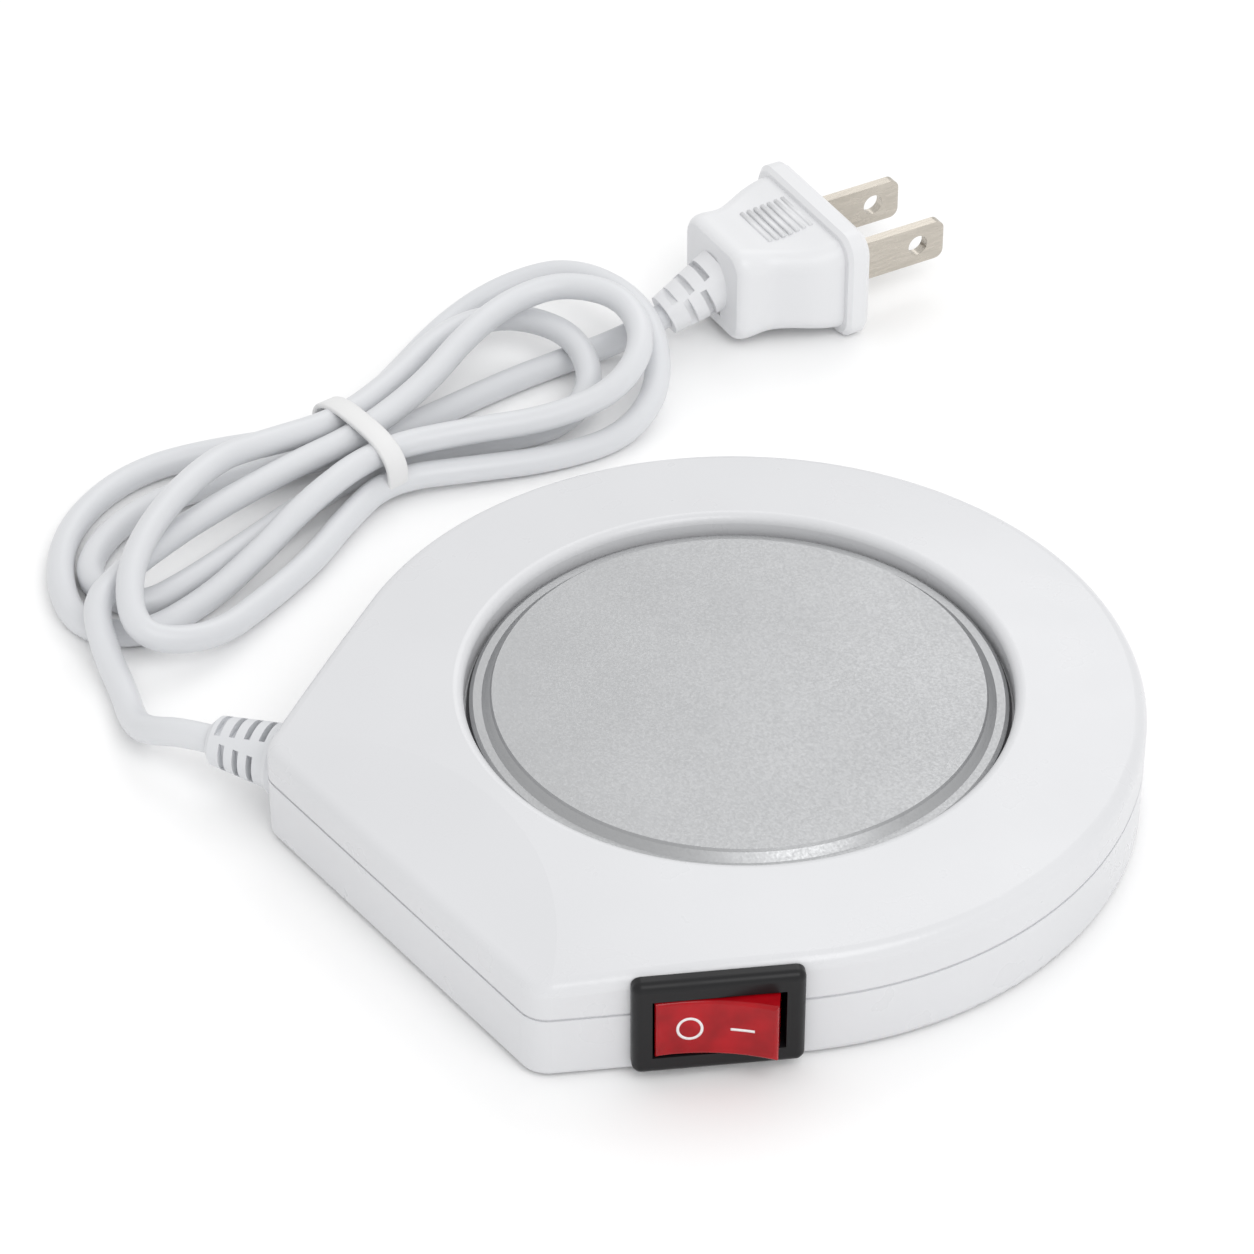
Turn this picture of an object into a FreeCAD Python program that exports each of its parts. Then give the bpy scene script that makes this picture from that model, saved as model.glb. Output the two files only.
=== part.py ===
import FreeCAD, Part
import Sketcher
import math
import os
import re
import sys

# Electric mug warmer: a two-part shell with an aluminium warming plate, a lit
# rocker switch on its right side, and a mains lead tied in a hank beside it.
# Millimetres, +Z up, the flat end of the shell faces -Y. The origin is on the
# floor under the middle of the appliance.

Vector = FreeCAD.Vector
Rotation = FreeCAD.Rotation
Placement = FreeCAD.Placement
UP = Vector(0, 0, 1)

SIZES = {
    # shell
    "plate_axis_y": 1.0,
    "body_radius": 52.0,
    "flat_distance": 54.0,
    "side_angle": 30.0,
    "corner_radius": 4.0,
    "wall": 2.0,
    "base_z": 0.5,
    "parting_z": 9.8,
    "lip_z": 17.4,
    "ceiling_z": 13.9,
    "crown_radius": 436.0,
    "facet_start": 38.5,
    "facet_slope": 0.18,
    "top_edge_radius": 1.8,
    "bottom_edge_radius": 1.0,
    "seam_height": 0.4,
    "seam_depth": 0.25,
    # plate and what is under it
    "well_radius": 35.2,
    "ledge_radius": 31.0,
    "ledge_z": 13.3,
    "ring_bottom_z": 11.6,
    "plate_radius": 31.6,
    "plate_z": 16.2,
    "flange_radius": 34.5,
    "flange_thickness": 1.1,
    "gasket_thickness": 0.6,
    "element_radius": 28.0,
    "sheet_thickness": 0.4,
    "pad_thickness": 0.8,
    "clamp_plate_thickness": 0.6,
    "clamp_circle": 22.0,
    "clamp_screw_radius": 1.5,
    # screws and feet
    "boss_radius": 3.0,
    "boss_circle": 43.5,
    "boss_angle": 35.0,
    "flat_boss_x": 12.0,
    "flat_boss_y": 46.5,
    "screw_radius": 1.3,
    "screw_head_radius": 2.4,
    "foot_radius": 4.5,
    "foot_circle": 36.0,
    "foot_angle": 48.0,
    # rocker switch
    "bezel_start": 11.8,
    "bezel_width": 21.0,
    "bezel_height": 14.2,
    "bezel_proud": 2.0,
    "bezel_bottom_z": 1.3,
    "switch_body_width": 18.8,
    "switch_body_height": 10.8,
    "switch_depth": 11.5,
    "opening_width": 16.2,
    "opening_height": 9.0,
    "rocker_width": 14.8,
    "rocker_height": 8.5,
    "rocker_tilt": 10.0,
    "pivot_radius": 0.9,
    "terminal_length": 5.5,
    # strain relief, mains lead and plug
    "cord_diameter": 3.8,
    "gland_from_corner": 6.5,
    "gland_z": 7.4,
    "gland_out": 10.5,
    "gland_in": 9.5,
    "gland_root_radius": 4.9,
    "gland_tip_radius": 3.3,
    "plug_heading": 8.0,
    "flange_width": 27.0,
    "flange_height": 17.4,
    "blade_spacing": 12.7,
    "blade_width": 6.35,
    "blade_thickness": 1.5,
    "plug_length": 19.0,
    "blade_length": 16.5,
    "blade_hole_radius": 1.6,
}

doc = FreeCAD.newDocument("MugWarmer")
sheet = doc.addObject("Spreadsheet::Sheet", "Sizes")
for row, (alias, value) in enumerate(SIZES.items(), start=1):
    sheet.set("A%d" % row, alias.replace("_", " "))
    sheet.set("B%d" % row, str(value))
    sheet.setAlias("B%d" % row, alias)
doc.recompute()

NAME = re.compile(r"[a-z][a-z_]*[a-z]")
FUNCTIONS = ("sin", "cos", "tan", "sqrt")


def size(name):
    return float(getattr(sheet, name))


def sheet_form(text):
    """Write plain size names as references to the sheet."""
    def swap(match):
        word = match.group(0)
        return word if word in FUNCTIONS else "Sizes." + word
    return NAME.sub(swap, str(text))


def number(text):
    """Work out a size expression with the sheet's values."""
    def swap(match):
        word = match.group(0)
        if word in FUNCTIONS:
            return word
        return repr(size(word))
    plain = NAME.sub(swap, str(text))
    return arithmetic(plain)


def arithmetic(text):
    """Value of a sum of products with brackets and sin, cos, tan, sqrt of degrees."""
    tokens = re.findall(r"[0-9.]+(?:e-?[0-9]+)?|[a-z]+|[-+*/()]", text)
    place = [0]

    def take():
        place[0] += 1
        return tokens[place[0] - 1]

    def peek():
        return tokens[place[0]] if place[0] < len(tokens) else ""

    def factor():
        token = take()
        if token == "-":
            return -factor()
        if token == "(":
            value = total()
            take()
            return value
        if token in FUNCTIONS:
            take()
            value = total()
            take()
            if token == "sqrt":
                return math.sqrt(value)
            return getattr(math, token)(math.radians(value))
        return float(token)

    def product():
        value = factor()
        while peek() in ("*", "/"):
            if take() == "*":
                value = value * factor()
            else:
                value = value / factor()
        return value

    def total():
        value = product()
        while peek() in ("+", "-"):
            if take() == "+":
                value = value + product()
            else:
                value = value - product()
        return value

    return total()


def bind(obj, prop, expression):
    obj.setExpression(prop, sheet_form(expression))


def place(obj, x="0", y="0", z="0", rotation=None):
    """Bind an object's position to the sheet."""
    if rotation:
        obj.Placement = Placement(Vector(), rotation)
    for axis, value in (("x", x), ("y", y), ("z", z)):
        bind(obj, "Placement.Base." + axis, value)
    return obj


parts = {}


def keep(obj, name, placement=None):
    """Name a finished sub-part after its file."""
    obj.Label = name
    if placement is not None:
        obj.Placement = placement.multiply(obj.Placement)
    parts[name] = obj
    return obj


def cylinder(name, radius, height, x="0", y="0", z="0", rotation=None):
    solid = doc.addObject("Part::Cylinder", name)
    bind(solid, "Radius", radius)
    bind(solid, "Height", height)
    return place(solid, x, y, z, rotation)


def box(name, length, width, height, x="0", y="0", z="0", rotation=None):
    solid = doc.addObject("Part::Box", name)
    bind(solid, "Length", length)
    bind(solid, "Width", width)
    bind(solid, "Height", height)
    return place(solid, x, y, z, rotation)


def cut(name, base, *tools):
    tool = tools[0] if len(tools) == 1 else fuse(name + "Tools", *tools)
    result = doc.addObject("Part::Cut", name)
    result.Base = base
    result.Tool = tool
    return result


def fuse(name, *solids):
    result = doc.addObject("Part::MultiFuse", name)
    result.Shapes = list(solids)
    return result


def common(name, first, second):
    result = doc.addObject("Part::Common", name)
    result.Base = first
    result.Tool = second
    return result


def group(name, *solids):
    """Separate solids of one kind in one node."""
    result = doc.addObject("Part::Compound", name)
    result.Links = list(solids)
    return result


def plane_of(body, role):
    for feature in body.Origin.OriginFeatures:
        if feature.Role == role:
            return feature
    raise RuntimeError("no plane " + role)


def polygon_sketch(body, name, role, points, offset="0"):
    """Closed polygon whose corners are bound to the sheet."""
    sketch = body.newObject("Sketcher::SketchObject", name)
    sketch.AttachmentSupport = [(plane_of(body, role), "")]
    sketch.MapMode = "FlatFace"
    bind(sketch, "AttachmentOffset.Base.z", offset)
    values = [Vector(number(x), number(y), 0) for x, y in points]
    count = len(points)
    for i in range(count):
        sketch.addGeometry(Part.LineSegment(values[i], values[(i + 1) % count]), False)
    for i in range(count):
        sketch.addConstraint(Sketcher.Constraint("Coincident", i, 2, (i + 1) % count, 1))
    for i, (x, y) in enumerate(points):
        for kind, text, value, axis in (("DistanceX", x, values[i].x, -2), ("DistanceY", y, values[i].y, -1)):
            if abs(value) < 1e-7:
                sketch.addConstraint(Sketcher.Constraint("PointOnObject", i, 1, axis))
            else:
                index = sketch.addConstraint(Sketcher.Constraint(kind, -1, 1, i, 1, value))
                bind(sketch, "Constraints[%d]" % index, text)
    return sketch


def turned(name, points):
    """Solid of revolution about Z from corners of radius and height."""
    body = doc.addObject("PartDesign::Body", name)
    sketch = polygon_sketch(body, name + "Profile", "XZ_Plane", points)
    turn = body.newObject("PartDesign::Revolution", name + "Turn")
    turn.Profile = sketch
    turn.ReferenceAxis = (sketch, ["V_Axis"])
    turn.Angle = 360
    body.Tip = turn
    return body


def extruded(name, role, points, length, offset="0"):
    """Prism of a polygon."""
    body = doc.addObject("PartDesign::Body", name)
    sketch = polygon_sketch(body, name + "Profile", role, points, offset)
    pad = body.newObject("PartDesign::Pad", name + "Pad")
    pad.Profile = sketch
    bind(pad, "Length", length)
    body.Tip = pad
    return body


# Shell outline: a circle round the plate axis, two straight sides tangent to it,
# and the flat end across them.

def outline_body(name, inset, bottom, height, round_corners=True):
    """Prism of the shell's outline, drawn in by inset."""
    body = doc.addObject("PartDesign::Body", name)
    sketch = body.newObject("Sketcher::SketchObject", name + "Outline")
    sketch.AttachmentSupport = [(plane_of(body, "XY_Plane"), "")]
    sketch.MapMode = "FlatFace"
    bind(sketch, "AttachmentOffset.Base.z", bottom)
    radius = "(body_radius - %s)" % inset
    flat = "(flat_distance - %s)" % inset
    half = "(%s - sin(side_angle) * %s) / cos(side_angle)" % (radius, flat)
    r = number(radius)
    d = number(flat)
    w = number(half)
    angle = size("side_angle")
    tangent = Vector(r * math.cos(math.radians(angle)), -r * math.sin(math.radians(angle)), 0)
    left = Vector(-tangent.x, tangent.y, 0)
    arc = Part.ArcOfCircle(Part.Circle(Vector(), UP, r), math.radians(-angle), math.radians(180 + angle))
    sketch.addGeometry(arc, False)
    sketch.addGeometry(Part.LineSegment(left, Vector(-w, -d, 0)), False)
    sketch.addGeometry(Part.LineSegment(Vector(-w, -d, 0), Vector(w, -d, 0)), False)
    sketch.addGeometry(Part.LineSegment(Vector(w, -d, 0), tangent), False)
    sketch.addConstraint(Sketcher.Constraint("Coincident", 0, 3, -1, 1))
    sketch.addConstraint(Sketcher.Constraint("Tangent", 0, 2, 1, 1))
    sketch.addConstraint(Sketcher.Constraint("Coincident", 1, 2, 2, 1))
    sketch.addConstraint(Sketcher.Constraint("Coincident", 2, 2, 3, 1))
    sketch.addConstraint(Sketcher.Constraint("Tangent", 3, 2, 0, 1))
    for kind, geometry, point, value, text in (
            ("DistanceX", 1, 2, -w, "-" + half), ("DistanceY", 1, 2, -d, "-" + flat),
            ("DistanceX", 2, 2, w, half), ("DistanceY", 2, 2, -d, "-" + flat)):
        index = sketch.addConstraint(Sketcher.Constraint(kind, -1, 1, geometry, point, value))
        bind(sketch, "Constraints[%d]" % index, text)
    index = sketch.addConstraint(Sketcher.Constraint("Radius", 0, r))
    bind(sketch, "Constraints[%d]" % index, radius)
    pad = body.newObject("PartDesign::Pad", name + "Pad")
    pad.Profile = sketch
    bind(pad, "Length", height)
    body.Tip = pad
    if round_corners:
        doc.recompute()
        edges = []
        for i, edge in enumerate(pad.Shape.Edges, start=1):
            a, b = edge.Vertexes[0].Point, edge.Vertexes[-1].Point
            upright = abs(a.x - b.x) < 1e-6 and abs(a.y - b.y) < 1e-6
            if upright and abs(abs(a.x) - w) < 1e-3:
                edges.append("Edge%d" % i)
        fillet = body.newObject("PartDesign::Fillet", name + "Corners")
        fillet.Base = (pad, edges)
        bind(fillet, "Radius", "corner_radius - %s" % inset)
        body.Tip = fillet
    place(body, "0", "plate_axis_y")
    return body


def rounded(name, base, radius, chosen):
    """Fillet the edges of an earlier solid that pass the test."""
    doc.recompute()
    result = doc.addObject("Part::Fillet", name)
    result.Base = base
    r = number(radius)
    result.Edges = [(i, r, r) for i, edge in enumerate(base.Shape.Edges, start=1) if chosen(edge)]
    return result


SIDE = math.radians(size("side_angle"))
HALF_FLAT = number("(body_radius - sin(side_angle) * flat_distance) / cos(side_angle)")
RIGHT_OUT = Vector(math.cos(SIDE), -math.sin(SIDE), 0)
RIGHT_ALONG = Vector(math.sin(SIDE), math.cos(SIDE), 0)
LEFT_OUT = Vector(-math.cos(SIDE), -math.sin(SIDE), 0)
LEFT_ALONG = Vector(-math.sin(SIDE), math.cos(SIDE), 0)
PLATE_AXIS = Vector(0, size("plate_axis_y"), 0)
RIGHT_CORNER = PLATE_AXIS + Vector(HALF_FLAT, -size("flat_distance"), 0)
LEFT_CORNER = PLATE_AXIS + Vector(-HALF_FLAT, -size("flat_distance"), 0)


# Switch frame: X along the right side, Y up, Z out of the wall, its origin on the
# wall at the middle of the bezel.
SWITCH_MIDDLE = size("bezel_start") + size("bezel_width") / 2
SWITCH_POINT = RIGHT_CORNER + RIGHT_ALONG * SWITCH_MIDDLE + UP * (size("bezel_bottom_z") + size("bezel_height") / 2)
SWITCH = Placement(SWITCH_POINT, Rotation(RIGHT_ALONG, UP, RIGHT_OUT, "ZXY"))

# Strain relief frame: Z out of the left wall along the lead, X along the side.
GLAND_POINT = LEFT_CORNER + LEFT_ALONG * size("gland_from_corner") + UP * size("gland_z")
GLAND = Placement(GLAND_POINT, Rotation(LEFT_ALONG * -1, UP, LEFT_OUT, "ZXY"))

BOSSES = []
for turn in (size("boss_angle"), 180 - size("boss_angle")):
    BOSSES.append(("boss_circle * cos(%g)" % turn, "boss_circle * sin(%g) + plate_axis_y" % turn))
for sign in ("", "-"):
    BOSSES.append((sign + "flat_boss_x", "plate_axis_y - flat_boss_y"))
FEET = []
for turn in (-45, 45, 135, 225):
    FEET.append(("foot_circle * cos(%g)" % turn, "foot_circle * sin(%g) + plate_axis_y" % turn))


def in_switch(solid):
    solid.Placement = SWITCH.multiply(solid.Placement)
    return solid


def in_gland(solid):
    solid.Placement = GLAND.multiply(solid.Placement)
    return solid


def fixed_box(name, low, high):
    """Box between two corners, for cutters in a sub-part's own frame."""
    solid = doc.addObject("Part::Box", name)
    solid.Length, solid.Width, solid.Height = (high[i] - low[i] for i in range(3))
    solid.Placement.Base = Vector(*low)
    return solid


def fixed_cylinder(name, radius, height, base, direction=UP):
    solid = doc.addObject("Part::Cylinder", name)
    solid.Radius = radius
    solid.Height = height
    solid.Placement = Placement(Vector(*base), Rotation(UP, direction))
    return solid


def switch_hole(name):
    """Rectangular hole for the switch body through the wall."""
    w = size("switch_body_width") / 2
    t = size("switch_body_height") / 2
    return in_switch(fixed_box(name, (-w, -t, -6), (w, t, 3)))


def gland_hole(name):
    return in_gland(fixed_cylinder(name, 3.4, 8, (0, 0, -5)))


def make_upper_housing():
    form = outline_body("UpperForm", "0", "parting_z", "lip_z - parting_z")
    crown = doc.addObject("Part::Sphere", "TopCrown")
    bind(crown, "Radius", "crown_radius")
    place(crown, "0", "plate_axis_y", "lip_z - sqrt(crown_radius * crown_radius - well_radius * well_radius)")
    sloped = common("UpperSloped", form, crown)
    tilt = math.degrees(math.atan(size("facet_slope")))
    drop = "(facet_start * facet_start - well_radius * well_radius) / (2 * crown_radius)"
    start_z = number("lip_z - " + drop)
    facet = fixed_box("FacetCutter", (-100, -60, 0), (100, 0, 20))
    crease = Vector(0, size("plate_axis_y") - size("facet_start"), start_z)
    facet.Placement = Placement(crease, Rotation(Vector(1, 0, 0), tilt)).multiply(facet.Placement)
    faced = cut("UpperFaced", sloped, facet)
    top_low = number("parting_z") + 2

    def outer_top_edge(edge):
        box_ = edge.BoundBox
        if box_.ZMin < top_low:
            return False
        middle = edge.valueAt((edge.FirstParameter + edge.LastParameter) / 2) - PLATE_AXIS
        radius = math.hypot(middle.x, middle.y)
        near_flat = middle.y < -size("flat_distance") + 2.5
        on_side = abs(abs(middle.x) * math.cos(SIDE) - middle.y * math.sin(SIDE) - size("body_radius")) < 1.3
        on_arc = radius > size("body_radius") - 0.2
        return near_flat or on_side or on_arc

    soft = rounded("UpperRounded", faced, "top_edge_radius", outer_top_edge)
    doc.recompute()
    if not soft.Shape.isValid() or soft.Shape.isNull():
        print("the top edge stays sharp")
        doc.removeObject(soft.Name)
        soft = faced
    cavity = outline_body("UpperCavity", "wall", "parting_z - 1", "ceiling_z - parting_z + 1")
    shell = cut("UpperShell", soft, cavity)
    ring = cylinder("WellRing", "well_radius + wall", "lip_z - ring_bottom_z - 1", "0", "plate_axis_y", "ring_bottom_z")
    solids = [shell, ring]
    for i, (x, y) in enumerate(BOSSES):
        solids.append(cylinder("UpperBoss%d" % i, "boss_radius", "ceiling_z - parting_z + 0.5", x, y, "parting_z"))
    whole = fuse("UpperWhole", *solids)
    well = cylinder("Well", "well_radius", "10", "0", "plate_axis_y", "ledge_z")
    throat = cylinder("Throat", "ledge_radius", "20", "0", "plate_axis_y", "0")
    tools = [well, throat, switch_hole("UpperSwitchHole"), gland_hole("UpperGlandHole")]
    for i, (x, y) in enumerate(BOSSES):
        tools.append(cylinder("UpperPilot%d" % i, "screw_radius", "ceiling_z - parting_z - 0.4", x, y, "parting_z"))
    hollow = cut("UpperHollow", whole, *tools)

    def lip_edge(edge):
        curve = edge.Curve
        return (isinstance(curve, Part.Circle) and abs(curve.Radius - size("well_radius")) < 1e-3
                and abs(curve.Center.z - size("lip_z")) < 1e-3)

    keep(rounded("UpperLip", hollow, "1.2", lip_edge), "upper_housing")


def make_lower_housing():
    form = outline_body("LowerForm", "0", "base_z", "parting_z - base_z")
    cavity = outline_body("LowerCavity", "wall", "base_z + wall", "parting_z - base_z")
    base_edge = number("base_z") + 1e-3
    soft = rounded("LowerRounded", form, "bottom_edge_radius", lambda edge: edge.BoundBox.ZMax < base_edge)
    around = outline_body("SeamAround", "-1", "parting_z - seam_height", "1")
    core = outline_body("SeamCore", "seam_depth", "parting_z - seam_height - 1", "3")
    groove = cut("PartingGroove", around, core)
    shell = cut("LowerShell", soft, cavity, groove)
    solids = [shell]
    for i, (x, y) in enumerate(BOSSES):
        solids.append(cylinder("LowerBoss%d" % i, "boss_radius + 0.6", "parting_z - base_z - 0.5", x, y, "base_z + 0.5"))
    saddle = in_gland(fixed_box("CordSaddle", (-5.5, -(size("gland_z") - size("base_z") - 1), -15.0), (5.5, -2.2, -11.0)))
    solids.append(saddle)
    whole = fuse("LowerWhole", *solids)
    tools = [switch_hole("LowerSwitchHole"), gland_hole("LowerGlandHole")]
    for i, (x, y) in enumerate(BOSSES):
        tools.append(cylinder("LowerHole%d" % i, "screw_radius + 0.3", "20", x, y, "0"))
        tools.append(cylinder("LowerSink%d" % i, "screw_head_radius + 0.3", "4 - base_z", x, y, "base_z - 0.1"))
    for i, (x, y) in enumerate(FEET):
        tools.append(cylinder("FootPocket%d" % i, "foot_radius", "0.9", x, y, "base_z - 0.1"))
    for i in range(7):
        y = -12 + 4 * i
        slot = fixed_box("VentSlot%d" % i, (-14, y + size("plate_axis_y"), 0), (14, y + 1.6 + size("plate_axis_y"), 4))
        tools.append(slot)
    for side in (-1, 1):
        tools.append(in_gland(fixed_cylinder("ClampPilot%d" % (side + 1), 0.8, 4.5, (side * 4.2, -2.0, -13.0), Vector(0, -1, 0))))
    keep(cut("LowerHousing", whole, *tools), "lower_housing")


def make_plate():
    profile = [("0", "plate_z - 1.9"), ("element_radius + 1.5", "plate_z - 1.9"),
               ("element_radius + 1.5", "plate_z - 2.3"), ("flange_radius", "plate_z - 2.3"), ("flange_radius", "plate_z - 1.5"),
               ("flange_radius - 0.5", "plate_z - 1.2"), ("plate_radius + 1.3", "plate_z - 1.2"),
               ("plate_radius + 0.9", "plate_z - 0.9"), ("plate_radius + 0.25", "plate_z - 0.35"),
               ("plate_radius", "plate_z"), ("0", "plate_z")]
    body = turned("PlateBlank", profile)
    place(body, "0", "plate_axis_y")
    tools = []
    for i in range(3):
        tools.append(cylinder("PlateBlind%d" % i, "clamp_screw_radius", "1.5", "clamp_circle * cos(%d)" % (90 + 120 * i),
                              "clamp_circle * sin(%d) + plate_axis_y" % (90 + 120 * i), "plate_z - 2.5"))
    keep(cut("HeatingPlate", body, *tools), "heating_plate")
    gasket = turned("Gasket", [("ledge_radius + 0.2", "ledge_z"), ("well_radius - 0.3", "ledge_z"),
                               ("well_radius - 0.3", "ledge_z + gasket_thickness"),
                               ("ledge_radius + 0.2", "ledge_z + gasket_thickness")])
    place(gasket, "0", "plate_axis_y")
    keep(gasket, "plate_gasket")


def stack_sheet(name, radius, thickness, z):
    """Round sheet of the heater stack with its three screw holes."""
    disc = cylinder(name + "Disc", radius, thickness, "0", "plate_axis_y", z)
    holes = []
    for i in range(3):
        holes.append(cylinder(name + "Hole%d" % i, "clamp_screw_radius + 0.2", "4", "clamp_circle * cos(%d)" % (90 + 120 * i),
                              "clamp_circle * sin(%d) + plate_axis_y" % (90 + 120 * i), z + " - 1"))
    return cut(name, disc, *holes)


STACK_TOP = "(plate_z - 1.9)"


def make_heater():
    keep(stack_sheet("MicaUpper", "element_radius", "sheet_thickness", STACK_TOP + " - sheet_thickness"), "mica_upper")
    # flat resistance ribbon in a serpentine between the two mica sheets
    rows = 7
    pitch = 4.8
    strip = 1.6
    solids = []
    low = number(STACK_TOP + " - 2 * sheet_thickness")
    for i in range(rows):
        x = (i - (rows - 1) / 2) * pitch
        reach = math.sqrt(26.0 ** 2 - x * x) - (7.5 if abs(x) < 6 else 3.5)
        solids.append(fixed_box("Ribbon%d" % i, (x - strip / 2, -reach, low), (x + strip / 2, reach, low + size("sheet_thickness"))))
        if i + 1 < rows:
            following = (i + 1 - (rows - 1) / 2) * pitch
            reach_next = math.sqrt(26.0 ** 2 - following ** 2) - (7.5 if abs(following) < 6 else 3.5)
            end = min(reach, reach_next) * (1 if i % 2 else -1)
            solids.append(fixed_box("RibbonTurn%d" % i, (x - strip / 2, end - strip / 2, low),
                                    (following + strip / 2, end + strip / 2, low + size("sheet_thickness"))))
    ribbon = fuse("HeatingElement", *solids)
    ribbon.Placement.Base = PLATE_AXIS
    keep(ribbon, "heating_element")
    keep(stack_sheet("MicaLower", "element_radius", "sheet_thickness", STACK_TOP + " - 3 * sheet_thickness"), "mica_lower")
    keep(stack_sheet("InsulationPad", "element_radius - 0.5", "pad_thickness",
                     STACK_TOP + " - 3 * sheet_thickness - pad_thickness"), "insulation_pad")
    keep(stack_sheet("ClampPlate", "element_radius", "clamp_plate_thickness",
                     STACK_TOP + " - 3 * sheet_thickness - pad_thickness - clamp_plate_thickness"), "clamp_plate")
    under = STACK_TOP + " - 3 * sheet_thickness - pad_thickness - clamp_plate_thickness"
    screws = []
    for i in range(3):
        x = "clamp_circle * cos(%d)" % (90 + 120 * i)
        y = "clamp_circle * sin(%d) + plate_axis_y" % (90 + 120 * i)
        shank = cylinder("ClampShank%d" % i, "clamp_screw_radius", "plate_z - 1 - (%s) + 0.5" % under, x, y, under + " - 0.5")
        head = cylinder("ClampHead%d" % i, "2.7", "1.5", x, y, under + " - 1.5")
        recess = cylinder("ClampRecess%d" % i, "1.0", "0.8", x, y, under + " - 1.6")
        screws.append(cut("ClampScrew%d" % i, fuse("ClampBlank%d" % i, shank, head), recess))
    keep(group("ClampScrews", *screws), "clamp_screws")
    # disc thermostat hangs under the clamp plate
    low = number(under)
    can = fixed_cylinder("ThermostatCan", 6.4, 2.4, (-9, 8, low - 2.4))
    base = fixed_cylinder("ThermostatBase", 7.6, 2.2, (-9, 8, low - 4.6))
    legs = [fixed_box("ThermostatLeg%d" % i, (-9 + side * 5 - 0.4, 8 - 1.6, low - 6.6), (-9 + side * 5 + 0.4, 8 + 1.6, low - 4.5))
            for i, side in enumerate((-1, 1))]
    thermostat = fuse("Thermostat", can, base, *legs)
    thermostat.Placement.Base = PLATE_AXIS
    keep(thermostat, "thermostat")
    fuse_body = fixed_cylinder("FuseBody", 1.5, 9, (6, 12, low - 2.3), Vector(1, 0, 0))
    fuse_leads = fixed_cylinder("FuseLeads", 0.4, 15, (3, 12, low - 2.3), Vector(1, 0, 0))
    thermal_fuse = fuse("ThermalFuse", fuse_body, fuse_leads)
    thermal_fuse.Placement.Base = PLATE_AXIS
    keep(thermal_fuse, "thermal_fuse")
    sleeve = cut("FuseSleeve", fixed_cylinder("SleeveOuter", 2.2, 11, (5, 12, low - 2.3), Vector(1, 0, 0)),
                 fixed_cylinder("SleeveBore", 1.6, 13, (4, 12, low - 2.3), Vector(1, 0, 0)))
    sleeve.Placement.Base = PLATE_AXIS
    keep(sleeve, "fuse_sleeve")


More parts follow.
